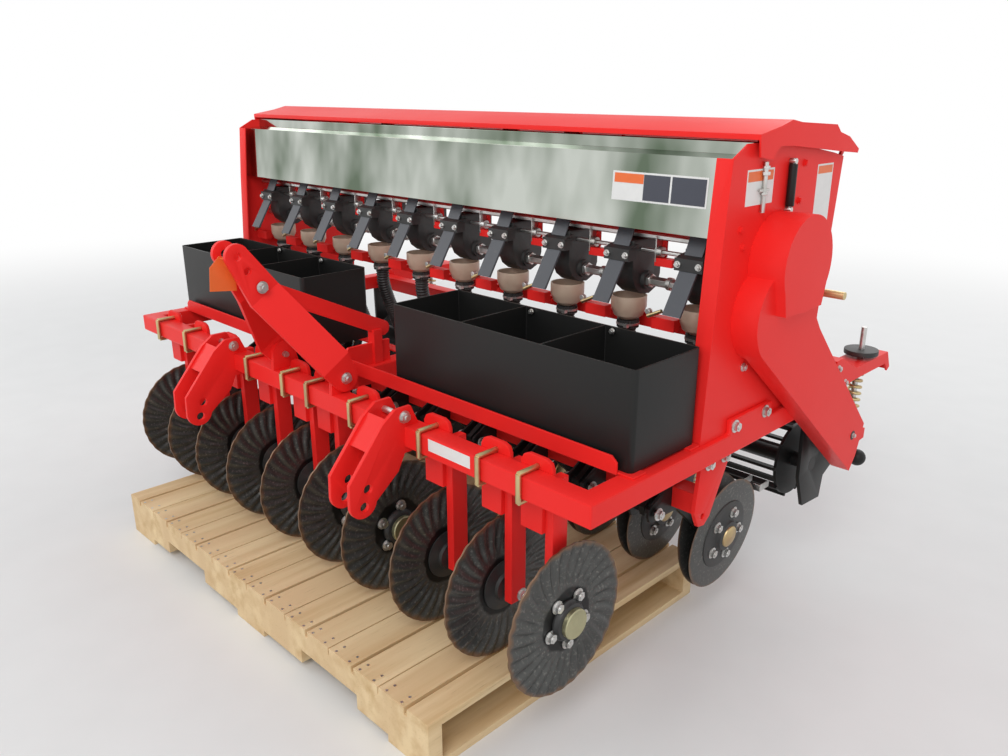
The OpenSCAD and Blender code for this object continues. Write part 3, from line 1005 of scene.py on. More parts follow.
def grow(
    name: str, seed_mesh: bpy.types.Mesh, tree: bpy.types.NodeTree, sizes: dict[str, float]
) -> bpy.types.Object:
    """Runs a geometry tree on a mesh and returns its result as a plain mesh object.

    Args:
        name: the new piece's name.
        seed_mesh: what the tree grows from.
        tree: the geometry tree.
        sizes: values of the tree's named inputs.

    Returns:
        The object, not yet riding on a body.
    """
    piece = bpy.data.objects.new(name, seed_mesh)
    bpy.context.scene.collection.objects.link(piece)
    modifier = piece.modifiers.new("grown", "NODES")
    modifier.node_group = tree
    for item in tree.interface.items_tree:
        if item.in_out == "INPUT" and item.name in sizes:
            modifier[item.identifier] = float(sizes[item.name])
    graph = bpy.context.evaluated_depsgraph_get()
    evaluated = piece.evaluated_get(graph)
    result = bpy.data.meshes.new_from_object(evaluated, preserve_all_data_layers=True, depsgraph=graph)
    piece.modifiers.remove(modifier)
    piece.data = result
    result.name = name
    return piece


def seeds_with_directions(name: str, spots: Sequence[Spot]) -> bpy.types.Mesh:
    """A mesh of loose points, each with the direction that its instance faces.

    Args:
        name: name of the piece that grows from it.
        spots: place and direction of each instance.

    Returns:
        The mesh.
    """
    seeds = bpy.data.meshes.new(f"{name}_seeds")
    seeds.from_pydata([place for place, _ in spots], [], [])
    facing = seeds.attributes.new("facing", "FLOAT_VECTOR", "POINT")
    for item, (_, direction) in zip(facing.data, spots):
        item.vector = direction
    return seeds


def smooth_faces(piece: bpy.types.Object) -> None:
    """Shades a grown piece smoothly."""
    piece.data.polygons.foreach_set("use_smooth", [True] * len(piece.data.polygons))


@dataclass
class Fasteners:
    """Hexagon bolts with washers, set on points with a direction each.

    Attributes:
        finish: the plating.
        across: width across the flats.
        height: height of the head.
        washer: radius of the washer.
        washer_height: height of the washer.
        stud: radius of the stud's end as a share of the head's radius.
        stud_reach: height of the stud's end as a share of the head's height.
    """

    finish: bpy.types.Material
    across: float = 0.019
    height: float = 0.009
    washer: float = 0.015
    washer_height: float = 0.002
    stud: float = 0.52
    stud_reach: float = 1.5
    tree: bpy.types.NodeTree | None = field(default=None, init=False)

    @staticmethod
    def drum(
        g: NodeGraph, sides: int, radius: tuple, depth: tuple, middle: bpy.types.Node
    ) -> bpy.types.Node:
        """Adds a cylinder along Z.

        Args:
            g: the tree.
            sides: its sides.
            radius: node and output with its radius.
            depth: node and output with its height.
            middle: node whose output 0 is the height of its middle.

        Returns:
            The node; its output is Geometry.
        """
        drum = g.add("GeometryNodeMeshCylinder", fill_type="NGON")
        drum.inputs["Vertices"].default_value = sides
        g.link(*radius, drum, "Radius")
        g.link(*depth, drum, "Depth")
        up = g.add("ShaderNodeCombineXYZ")
        g.link(middle, 0, up, "Z")
        raised = g.add("GeometryNodeTransform")
        g.link(drum, "Mesh", raised, "Geometry")
        g.link(up, "Vector", raised, "Translation")
        return raised

    def sizes(self) -> dict[str, float]:
        """Values of the tree's named inputs.

        Returns:
            The values by name.
        """
        return {
            "Head radius": self.across / math.sqrt(3),
            "Head height": self.height,
            "Washer radius": self.washer,
            "Washer height": self.washer_height,
        }

    def build_tree(self) -> bpy.types.NodeTree:
        """Builds the tree once: head, end of the stud and washer on every point.

        Returns:
            The tree.
        """
        if self.tree is not None:
            return self.tree
        g = NodeGraph("fasteners", self.sizes(), self.finish)
        half_head = g.math("MULTIPLY", (g.inputs, "Head height"), 0.5)
        half_washer = g.math("MULTIPLY", (g.inputs, "Washer height"), 0.5)
        head_middle = g.math("ADD", (half_head, 0), (g.inputs, "Washer height"))
        stud_radius = g.math("MULTIPLY", (g.inputs, "Head radius"), self.stud)
        stud_height = g.math("MULTIPLY", (g.inputs, "Head height"), self.stud_reach)
        parts = (
            self.drum(g, 6, (g.inputs, "Head radius"), (g.inputs, "Head height"), head_middle),
            self.drum(g, 12, (stud_radius, 0), (stud_height, 0), head_middle),
            self.drum(g, 20, (g.inputs, "Washer radius"), (g.inputs, "Washer height"), half_washer),
        )
        whole = g.add("GeometryNodeJoinGeometry")
        for part in parts:
            g.link(part, "Geometry", whole, 0)
        self.tree = g.close(g.instances(whole, "Geometry"), "Instances")
        return self.tree

    def place(self, name: str, spots: Iterable[Spot], body: str, slot: Slot) -> bpy.types.Object:
        """Sets one fastener on each spot.

        Args:
            name: the piece's name.
            spots: seat of each washer and the direction that its head points.
            body: the body that they ride on.
            slot: not used.

        Returns:
            The piece.
        """
        seeds = seeds_with_directions(name, list(spots))
        return dress(grow(name, seeds, self.build_tree(), self.sizes()), body)


@dataclass
class Coulters:
    """Ten wavy coulters, each with its hub, cap and nuts.

    Attributes:
        finishes: the drill's finishes.
        radius: radius of a disc.
        bore: radius of its bore.
        thickness: thickness of its sheet.
        waves: waves round a disc.
        depth: depth of a wave to each side.
        flat: share of the radius where the waves begin.
        rise: share of the radius in which they reach their depth.
        fade: share of the radius where they begin to fade towards the rim.
        rim: share of their depth that is left at the rim.
        sweep: turn of a wave between its start and the rim, in radians.
        across: steps of the mesh along the radius.
        steps: steps of the mesh round each wave.
        disc_turn: turn from one row's disc to the next, in radians.
        nut_circle: radius of the circle of nuts.
        nut_seat: distance of the nuts' seat from the disc's middle.
        nuts: number of nuts.
        nut_turn: turn from one row's nuts to the next, in radians.
        hub: section of the hub as (distance, radius), outwards.
        cap: section of the cap.
        seal: section of the seal towards the shank.
    """

    finishes: Finish
    radius: float = 0.1728
    bore: float = 0.013
    thickness: float = 0.0042
    waves: int = 30
    depth: float = 0.0040
    flat: float = 0.44
    rise: float = 0.22
    fade: float = 0.90
    rim: float = 0.2
    sweep: float = 0.24
    across: int = 18
    steps: int = 8
    disc_turn: float = 1.7
    nut_circle: float = 0.056
    nut_seat: float = 0.0035
    nuts: int = 5
    nut_turn: float = 1.1
    hub: Sequence[Pair] = (
        (0.003, 0.013), (0.003, 0.047), (0.007, 0.047), (0.010, 0.043), (0.016, 0.041), (0.019, 0.036),
        (0.0195, 0.013),
    )
    cap: Sequence[Pair] = (
        (0.0195, 0.0005), (0.0195, 0.034), (0.0285, 0.034), (0.0305, 0.032), (0.0312, 0.0005),
    )
    seal: Sequence[Pair] = (
        (-0.003, 0.013), (-0.003, 0.060), (-0.006, 0.060), (-0.012, 0.036), (-0.020, 0.034), (-0.020, 0.013),
    )

    def sizes(self) -> dict[str, float]:
        """Values of the tree's named inputs.

        Returns:
            The values by name.
        """
        return {
            "Radius": self.radius,
            "Bore": self.bore,
            "Waves": self.waves,
            "Depth": self.depth,
            "Flat share": self.flat,
            "Sweep": self.sweep,
        }

    def disc_tree(self) -> bpy.types.NodeTree:
        """Builds the tree that bends a grid of angle and radius into a wavy disc.

        Returns:
            The tree; its grid input runs from 0 to 1 along X for the radius and along Y for the angle.
        """
        g = NodeGraph("wavy_disc", self.sizes(), self.finishes.coulter)
        place = g.add("GeometryNodeInputPosition")
        split = g.add("ShaderNodeSeparateXYZ")
        g.link(place, "Position", split, "Vector")

        width = g.math("SUBTRACT", (g.inputs, "Radius"), (g.inputs, "Bore"))
        reach = g.math("ADD", (g.math("MULTIPLY", (split, "X"), (width, 0)), 0), (g.inputs, "Bore"))
        share = g.math("DIVIDE", (reach, 0), (g.inputs, "Radius"))
        angle = g.math("MULTIPLY", (split, "Y"), FULL_TURN)

        rise = g.ease(g.math("SUBTRACT", (share, 0), (g.inputs, "Flat share")), 0.0, self.rise)
        fade = g.ease(share, 1.0, self.fade, self.rim)
        bend = g.math("MULTIPLY", (g.math("MULTIPLY", (share, 0), (share, 0)), 0), (g.inputs, "Sweep"))
        phase = g.math("MULTIPLY", (g.math("ADD", (angle, 0), (bend, 0)), 0), (g.inputs, "Waves"))
        wave = g.math("MULTIPLY", (g.math("SINE", (phase, 0)), 0), (g.inputs, "Depth"))
        side = g.math("MULTIPLY", (g.math("MULTIPLY", (wave, 0), (rise, "Result")), 0), (fade, "Result"))

        spot = g.add("ShaderNodeCombineXYZ")
        g.link(side, 0, spot, "X")
        g.link(g.math("MULTIPLY", (reach, 0), (g.math("COSINE", (angle, 0)), 0)), 0, spot, "Y")
        g.link(g.math("MULTIPLY", (reach, 0), (g.math("SINE", (angle, 0)), 0)), 0, spot, "Z")
        move = g.add("GeometryNodeSetPosition")
        g.link(g.inputs, "Geometry", move, "Geometry")
        g.link(spot, "Vector", move, "Position")
        weld = g.add("GeometryNodeMergeByDistance")
        weld.inputs["Distance"].default_value = 0.00001
        g.link(move, "Geometry", weld, "Geometry")
        return g.close(weld, "Geometry")

    def grid(self) -> bpy.types.Mesh:
        """Makes a flat grid from 0 to 1 along X and Y, fine enough for the waves.

        Returns:
            The mesh.
        """
        across, around = self.across, self.waves * self.steps
        points = [(i / across, j / around, 0.0) for j in range(around + 1) for i in range(across + 1)]
        faces = []
        for j, i in product(range(around), range(across)):
            a = j * (across + 1) + i
            faces.append((a, a + 1, a + across + 2, a + across + 1))
        mesh = bpy.data.meshes.new("disc_grid")
        mesh.from_pydata(points, [], faces)
        return mesh

    def build(self, bolts: Fasteners) -> None:
        """Builds each disc, its hub and its fasteners.

        Args:
            bolts: fasteners of the hub.
        """
        sheet = grow("wavy_sheet", self.grid(), self.disc_tree(), self.sizes())
        for index in ROW_NUMBERS:
            self.disc(index, sheet)
            self.middle(index, bolts)
        bpy.data.objects.remove(sheet)

    def disc(self, index: int, sheet: bpy.types.Object) -> None:
        """Thickens one copy of the wavy sheet at its row.

        Args:
            index: number of the row.
            sheet: the wavy sheet round the origin.
        """
        body = f"coulter_{row_name(index)}"
        shape = Shape()
        bm = shape.bm
        bm.from_mesh(sheet.data)
        bmesh.ops.recalc_face_normals(bm, faces=bm.faces)
        bmesh.ops.solidify(bm, geom=bm.faces[:], thickness=self.thickness)
        low = min(v.co.x for v in bm.verts)
        high = max(v.co.x for v in bm.verts)
        turn = Matrix.Rotation(index * self.disc_turn, 4, "X")
        place = Matrix.Translation((row_x(index), *COULTER_AXIS))
        shape.moved(place @ turn @ Matrix.Translation((-(low + high) / 2, 0, 0)))
        piece = shape.finish(f"{body}_disc", self.finishes.coulter, body, Slot.DISC, 50.0)
        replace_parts(piece, body)

    def middle(self, index: int, bolts: Fasteners) -> None:
        """Builds the hub with its seal, and its plated cap and nuts on the side away from the shank.

        Args:
            index: number of the row.
            bolts: fasteners of the hub.
        """
        body = f"coulter_{row_name(index)}"
        x, side = row_x(index), -SHANK_SIDE[index - 1]
        y, z = COULTER_AXIS
        f = self.finishes
        parts = (
            ("hub", self.hub, f.plastic, Slot.BLACK_PLASTIC),
            ("cap", self.cap, f.cap, Slot.YELLOW_ZINC),
            ("seal", self.seal, f.plastic, Slot.BLACK_PLASTIC),
        )
        for label, profile, material, slot in parts:
            section = [(x + side * out, r) for out, r in profile]
            Shape().lathe_x(section, y, z).finish(f"{body}_{label}", material, body, slot)
        ring = circle(self.nuts, self.nut_circle, index * self.nut_turn)
        spots = [((x + side * self.nut_seat, y + a, z + b), (side, 0, 0)) for a, b in ring]
        bolts.place(f"{body}_nuts", spots, body, Slot.ZINC)


@dataclass
class OpenerDiscs:
    """Ten pairs of leaning opener discs with a pressed hub plate, nuts and a plated cap each.

    Attributes:
        finishes: the drill's finishes.
        radius: radius of a disc.
        half: half the thickness of its sheet.
        bore: radius of its bore.
        bevel: width of the ground rim.
        edge: half the thickness of the rim's edge.
        plate: radius of the hub plate.
        nut_circle: radius of the circle of nuts.
        nut_seat: distance of the nuts' seat from the disc's middle.
        nuts: number of nuts.
        nut_turn: turn from one row's nuts to the next, in radians.
        press: section of the pressed middle inside the hub plate's rim, as (distance, radius), outwards.
        cap: section of the cap.
    """

    finishes: Finish
    radius: float = 0.150
    half: float = 0.002
    bore: float = 0.0103
    bevel: float = 0.009
    edge: float = 0.0006
    plate: float = 0.093
    nut_circle: float = 0.062
    nut_seat: float = 0.0062
    nuts: int = 5
    nut_turn: float = 0.9
    press: Sequence[Pair] = (
        (0.0065, 0.082), (0.0060, 0.049), (0.0100, 0.043), (0.0165, 0.040), (0.0180, 0.034), (0.0180, 0.0103),
    )
    cap: Sequence[Pair] = (
        (0.0180, 0.0005), (0.0180, 0.029), (0.0210, 0.028), (0.0245, 0.022), (0.0255, 0.0005),
    )

    def build(self, bolts: Fasteners) -> None:
        """Builds the twenty discs.

        Args:
            bolts: nuts of the hub plates.
        """
        for index, side in product(ROW_NUMBERS, (-1, 1)):
            self.disc(index, side, bolts)

    def disc(self, index: int, side: int, bolts: Fasteners) -> None:
        """Builds one disc of a pair.

        Args:
            index: number of the row.
            side: -1 for the left disc, 1 for the right one.
            bolts: nuts of the hub plate.
        """
        label = f"{row_name(index)}_{'left' if side < 0 else 'right'}"
        body = f"opener_{label}"
        f = self.finishes
        centre = (row_x(index) + side * OPENER_HALF, *OPENER_AXIS)
        place = Matrix.Translation(centre) @ Matrix.Rotation(side * OPENER_LEAN, 4, "Y")

        ground, half = self.radius - self.bevel, self.half
        outer = [(half, self.bore), (half, ground), (self.edge, self.radius)]
        sheet = [(-out, r) for out, r in outer] + outer[::-1]
        disc = Shape().lathe_x(sheet, 0, 0, 72).moved(place)
        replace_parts(disc.finish(f"{body}_sheet", f.opener, body, Slot.DISC), f"opener_disc_{label}")

        hub = [(half, self.bore), (half, self.plate), (0.0045, self.plate - 0.001), *self.press]
        self.turned(hub, side, place).finish(f"{body}_hub", f.plastic, body, Slot.BLACK_PLASTIC)
        self.turned(self.cap, side, place).finish(f"{body}_cap", f.yellow_zinc, body, Slot.YELLOW_ZINC)

        facing = tuple(place.to_3x3() @ Vector((side, 0, 0)))
        ring = circle(self.nuts, self.nut_circle, index * self.nut_turn + side)
        spots = [(tuple(place @ Vector((side * self.nut_seat, a, b))), facing) for a, b in ring]
        bolts.place(f"{body}_nuts", spots, body, Slot.ZINC)

    def turned(self, profile: Sequence[Pair], side: int, place: Matrix) -> Shape:
        """Turns a profile on the outer side of a disc."""
        return Shape().lathe_x([(side * out, r) for out, r in profile], 0, 0).moved(place)


@dataclass
class Hoses:
    """Ten corrugated hoses that bend from the cups down to the openers.

    Attributes:
        finishes: the drill's finishes.
        radius: mean radius.
        ridge: height of a ridge above the mean.
        pitch: distance between two ridges.
        rings: rings of faces along a hose.
        sides: faces round a hose.
        route: points that a hose follows, with X from its row's middle.
    """

    finishes: Finish
    radius: float = 0.0190
    ridge: float = 0.0016
    pitch: float = 0.0078
    rings: int = 300
    sides: int = 16
    route: Sequence[Point] = (
        (METER_OFFSET, CUP_Y, 0.8456),
        (METER_OFFSET, CUP_Y, 0.815),
        (METER_OFFSET - 0.001, 0.488, 0.760),
        (0.009, 0.536, 0.640),
        (0.004, 0.580, 0.530),
        (0.0, 0.608, 0.450),
        (0.0, 0.610, 0.4025),
    )

    def sizes(self) -> dict[str, float]:
        """Values of the tree's named inputs."""
        return {"Radius": self.radius, "Ridge": self.ridge, "Pitch": self.pitch}

    def tree(self) -> bpy.types.NodeTree:
        """Builds the tree that sweeps a ribbed tube along each line of its input.

        Returns:
            The tree.
        """
        g = NodeGraph("corrugated_hose", self.sizes(), self.finishes.hose)
        line = g.add("GeometryNodeMeshToCurve")
        g.link(g.inputs, "Geometry", line, "Mesh")
        smooth = g.add("GeometryNodeCurveSplineType", spline_type="CATMULL_ROM")
        g.link(line, "Curve", smooth, "Curve")
        even = g.add("GeometryNodeResampleCurve")
        even.inputs["Count"].default_value = self.rings
        g.link(smooth, "Curve", even, "Curve")

        along = g.add("GeometryNodeSplineParameter")
        turns = g.math("DIVIDE", (along, "Length"), (g.inputs, "Pitch"))
        phase = g.math("MULTIPLY", (turns, 0), FULL_TURN)
        wave = g.math("MULTIPLY", (g.math("SINE", (phase, 0)), 0), (g.inputs, "Ridge"))
        keep = g.add("GeometryNodeStoreNamedAttribute", data_type="FLOAT", domain="POINT")
        keep.inputs["Name"].default_value = "rib"
        g.link(even, "Curve", keep, "Geometry")
        g.link(wave, 0, keep, "Value")
        tube = g.sweep(keep, "Geometry", g.ring("Radius", self.sides))

        rib = g.add("GeometryNodeInputNamedAttribute", data_type="FLOAT")
        rib.inputs["Name"].default_value = "rib"
        facing = g.add("GeometryNodeInputNormal")
        push = g.add("ShaderNodeVectorMath", operation="SCALE")
        g.link(facing, "Normal", push, 0)
        g.link(rib, "Attribute", push, "Scale")
        swell = g.add("GeometryNodeSetPosition")
        g.link(tube, "Mesh", swell, "Geometry")
        g.link(push, "Vector", swell, "Offset")
        return g.close(swell, "Geometry")

    def build(self) -> None:
        """Builds the ten hoses as one piece."""
        points, edges = [], []
        for index in ROW_NUMBERS:
            start = len(points)
            points += [(row_x(index) + x, y, z) for x, y, z in self.route]
            edges += [(start + k, start + k + 1) for k in range(len(self.route) - 1)]
        seeds = bpy.data.meshes.new("hose_paths")
        seeds.from_pydata(points, edges, [])
        piece = grow("seed_hoses_ribbed", seeds, self.tree(), self.sizes())
        smooth_faces(piece)
        dress(piece, ROOT)
        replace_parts(piece, "seed_hoses")


@dataclass
class Coils:
    """Helical springs set on points with a direction each.

    Attributes:
        finish: the wire's plating.
        turns: turns of a spring.
        wire: radius of the wire.
        radius: radius of the coil to the middle of the wire.
        length: length of a spring.
        steps: steps of the mesh round a turn.
        sides: faces round the wire.
    """

    finish: bpy.types.Material
    turns: float
    wire: float
    radius: float
    length: float
    steps: int = 20
    sides: int = 8

    def sizes(self) -> dict[str, float]:
        """Values of the tree's named inputs.

        Returns:
            The values by name.
        """
        return {
            "Coil radius": self.radius,
            "Wire radius": self.wire,
            "Length": self.length,
            "Turns": self.turns,
        }

    def tree(self) -> bpy.types.NodeTree:
        """Builds the tree that sets one coil on every point.

        Returns:
            The tree.
        """
        g = NodeGraph("coil_spring", self.sizes(), self.finish)
        path = g.add("GeometryNodeCurveSpiral")
        path.inputs["Resolution"].default_value = self.steps
        g.link(g.inputs, "Turns", path, "Rotations")
        g.link(g.inputs, "Coil radius", path, "Start Radius")
        g.link(g.inputs, "Coil radius", path, "End Radius")
        g.link(g.inputs, "Length", path, "Height")
        wire = g.sweep(path, "Curve", g.ring("Wire radius", self.sides))
        return g.close(g.instances(wire, "Mesh"), "Instances")

    def place(self, name: str, spots: Sequence[Spot]) -> bpy.types.Object:
        """Sets one spring on each spot.

        Args:
            name: the piece's name.
            spots: seat of each spring and the direction that it stands in.

        Returns:
            The piece.
        """
        piece = grow(name, seeds_with_directions(name, spots), self.tree(), self.sizes())
        smooth_faces(piece)
        return dress(piece, ROOT)


@dataclass
class Springs:
    """The springs over the openers and those of the roller arms, with the rods inside them.

    Attributes:
        finishes: the drill's finishes.
        top: Y and Z of the upper end of an opener's spring.
        seat: Y and Z of its lower end.
        clearance: what an opener's spring leaves free at both ends together.
        start: distance of its first turn from the upper end.
        rod: radius of the rod inside it.
        rear_y: Y of the springs of the roller arms.
        rear_foot: Z of the lower end of their rods.
        rear_head: Z of the upper end of their rods.
        rear_rod: radius of their rods.
        plate: radius of the plates at their ends.
        plate_height: thickness of those plates.
    """

    finishes: Finish
    top: Pair = (0.505, 0.556)
    seat: Pair = (0.537, 0.4635)
    clearance: float = 0.006
    start: float = 0.008
    rod: float = 0.006
    rear_y: float = 1.228
    rear_foot: float = 0.434
    rear_head: float = 0.606
    rear_rod: float = 0.008
    plate: float = 0.021
    plate_height: float = 0.004

    def build(self) -> None:
        """Builds both sets of springs and their rods."""
        rods = Shape()
        self.openers(rods)
        self.rear(rods)
        rods.finish("spring_rods", self.finishes.zinc, ROOT, Slot.ZINC)

    def openers(self, rods: Shape) -> None:
        """Builds the springs over the openers.

        Args:
            rods: shape that takes their rods.
        """
        run = Vector((0, self.seat[0] - self.top[0], self.seat[1] - self.top[1]))
        length = run.length - self.clearance
        run.normalize()
        spots = []
        for index in ROW_NUMBERS:
            start = Vector((row_x(index), *self.top)) + run * self.start
            spots.append((tuple(start), tuple(run)))
            rods.cone(tuple(start), tuple(start + run * (length - 0.004)), self.rod, 12)
        coils = Coils(self.finishes.yellow_zinc, 8.0, 0.0026, 0.0104, length - self.clearance)
        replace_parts(coils.place("opener_springs", spots), "down_springs")

    def rear(self, rods: Shape) -> None:
        """Builds the springs of the roller arms.

        Args:
            rods: shape that takes their rods and end plates.
        """
        low, high = self.rear_foot, self.rear_head
        spots = [((side * ARM_X, self.rear_y, 0.439), (0, 0, 1)) for side in (-1, 1)]
        Coils(self.finishes.yellow_zinc, 8.5, 0.0042, 0.0168, 0.162).place("roller_springs", spots)
        bars = ((low, high, self.rear_rod, 16),
                (low, low + self.plate_height, self.plate, 24),
                (high - self.plate_height, high, self.plate, 24))
        for side, (foot, head, radius, sides) in product((-1, 1), bars):
            x = side * ARM_X
            rods.cone((x, self.rear_y, foot), (x, self.rear_y, head), radius, sides)


@dataclass
class BoltRows:
    """Bolts, nuts and screws all over the drill.

    Attributes:
        finishes: the drill's finishes.
        bolts: zinc-plated fasteners of the common size.
        rail_x: X of the outer face of the side rails' lugs.
        case_x: X of the chain case's lower face.
        bracket_x: X of the rear brackets' outer faces.
        hitch_x: X of the middle of each lower link bracket.
        hitch_reach: distance from there to the seat of a nut.
        hitch_nut: Y and Z of those nuts.
        frame_places: nuts of the mast and of the drop plates at the right; the left side mirrors them.
        end_plate: Y and Z of each bolt of an end plate.
        lug: the same for the lugs.
        bracket: the same for the rear brackets.
        case_foot: the same for the bolt beside the chain case.
        case_hole_shade: the same for the hole with a bolt in the chain case, whose dark inside is painted
            shade on a black disc.
        hole: radius of that hole and of its disc of painted shade.
        hole_lift: how far the hole's black disc of painted shade stands out from the case.
        box_walls: X of the inner walls of the right ballast box.
        box_screw: X from a wall, Y and Z of its screw.
        clamp_nuts: nuts of a row's U-bolt, with X from its shank.
        clamp_screws: screws of a row's clamp, with X from its shank.
        shank_nut: nut at the foot of a shank, with X from its middle.
        opener_nut: nut of an opener's pivot bolt, with X from its row's middle.
        meter_screw: screw of a meter, with X from its middle.
    """

    finishes: Finish
    bolts: Fasteners
    rail_x: float = 0.975
    case_x: float = 1.025
    bracket_x: float = 0.970
    hitch_x: float = 0.390
    hitch_reach: float = 0.0415
    hitch_nut: Pair = (0.0, 0.660)
    frame_places: Sequence[Point] = (
        (0.156, 0.037, 0.676), (0.0405, -0.105, 0.910), (0.952, 0.500, 0.572), (0.952, 0.436, 0.572),
    )
    end_plate: Sequence[Pair] = (
        (0.460, 1.086), (0.474, 1.049), (0.802, 0.990), (0.867, 1.031), (0.700, 1.124), (0.710, 1.204),
    )
    lug: Sequence[Pair] = ((0.493, 0.653), (0.624, 0.653))
    bracket: Sequence[Pair] = ((1.012, 0.664), (1.062, 0.614))
    case_foot: Pair = (0.524, 0.780)
    case_hole_shade: Pair = (1.025, 0.489)
    hole: float = 0.0125
    hole_lift: float = 0.0006
    box_walls: Pair = (0.454, 0.701)
    box_screw: Point = (0.024, 0.364, 0.846)
    clamp_nuts: Sequence[Point] = ((-0.024, 0.060, 0.5797), (-0.024, 0.060, 0.6423))
    clamp_screws: Sequence[Point] = ((-0.072, 0.083, 0.515), (-0.072, 0.083, 0.552))
    shank_nut: Point = (0.011, 0.092, 0.288)
    opener_nut: Point = (0.038, 0.340, 0.462)
    meter_screw: Point = (0.026, 0.424, 1.0045)

    def build(self) -> None:
        """Builds all of them."""
        self.side_bolts()
        self.case_screws()
        self.frame_nuts()
        self.row_bolts()

    def on_sides(self, x: float, places: Sequence[Pair]) -> list[Spot]:
        """Spots at both sides of the drill that face outwards."""
        return [((side * x, y, z), (side, 0, 0)) for side in (-1, 1) for y, z in places]

    def side_bolts(self) -> None:
        """Bolts of the end plates, the lugs and the rear brackets."""
        f = self.finishes
        painted = Fasteners(f.red, 0.011, 0.004, 0.0085)
        painted.place("end_plate_bolts", self.on_sides(PLATE_X, self.end_plate), ROOT, Slot.RED)
        self.bolts.place("lug_bolts", self.on_sides(self.rail_x, self.lug), ROOT, Slot.ZINC)
        spots = self.on_sides(self.bracket_x, self.bracket)
        spots.append(((PLATE_X, *self.case_foot), (1, 0, 0)))
        Fasteners(f.zinc, 0.013, 0.006, 0.010).place("bracket_bolts", spots, ROOT, Slot.ZINC)

    def case_screws(self) -> None:
        """Screws beside the ballast boxes' inner walls and in the hole of the chain case, and a black disc of
        painted shade for that hole's dark inside.
        """
        f = self.finishes
        beside, y, z = self.box_screw
        walls = product((-1, 1), self.box_walls)
        spots = [((side * wall + beside, y, z), (0, -1, 0)) for side, wall in walls]
        face = (self.case_x + self.hole_lift, *self.case_hole_shade)
        spots.append((face, (1, 0, 0)))
        Fasteners(f.zinc, 0.010, 0.005, 0.007).place("small_screws", spots, ROOT, Slot.ZINC)
        # A black disc of painted shade stands for the dark inside of the chain case's hole, under its screw.
        hole = Shape().cone((self.case_x - 0.002, *self.case_hole_shade), face, self.hole, 24)
        hole.finish("case_hole_shade", f.black, ROOT, Slot.BLACK)

    def frame_nuts(self) -> None:
        """Nuts of the hitch, the mast and the drop plates."""
        spots = []
        for side in (-1, 1):
            for inner in (-1, 1):
                seat = side * self.hitch_x + inner * self.hitch_reach
                spots.append(((seat, *self.hitch_nut), (inner, 0, 0)))
            spots += [((side * x, y, z), (side, 0, 0)) for x, y, z in self.frame_places]
        self.bolts.place("frame_nuts", spots, ROOT, Slot.ZINC)

    def row_bolts(self) -> None:
        """Nuts of the U-bolts, shanks and openers, and screws of the meters and clamps, at every row."""
        f = self.finishes
        foot, pivot, screw = self.shank_nut, self.opener_nut, self.meter_screw
        nuts, screws, dark = [], [], []
        for index in ROW_NUMBERS:
            x, shank, side = row_x(index), shank_x(index), SHANK_SIDE[index - 1]
            nuts += [((shank + out, y, z), (0, 1, 0)) for out, y, z in self.clamp_nuts]
            nuts.append(((shank + side * foot[0], *foot[1:]), (side, 0, 0)))
            nuts += [((x + outer * pivot[0], *pivot[1:]), (outer, 0, 0)) for outer in (1, -1)]
            middle = x + METER_OFFSET
            screws += [((middle + outer * screw[0], *screw[1:]), (0, -1, 0)) for outer in (-1, 1)]
            dark += [((shank + out, y, z), (-1, 0, 0)) for out, y, z in self.clamp_screws]
        self.bolts.place("row_nuts", nuts, ROOT, Slot.ZINC)
        Fasteners(f.zinc, 0.010, 0.005, 0.0075).place("meter_screws", screws, ROOT, Slot.ZINC)
        Fasteners(f.black, 0.019, 0.010, 0.014).place("clamp_screws", dark, ROOT, Slot.BLACK)


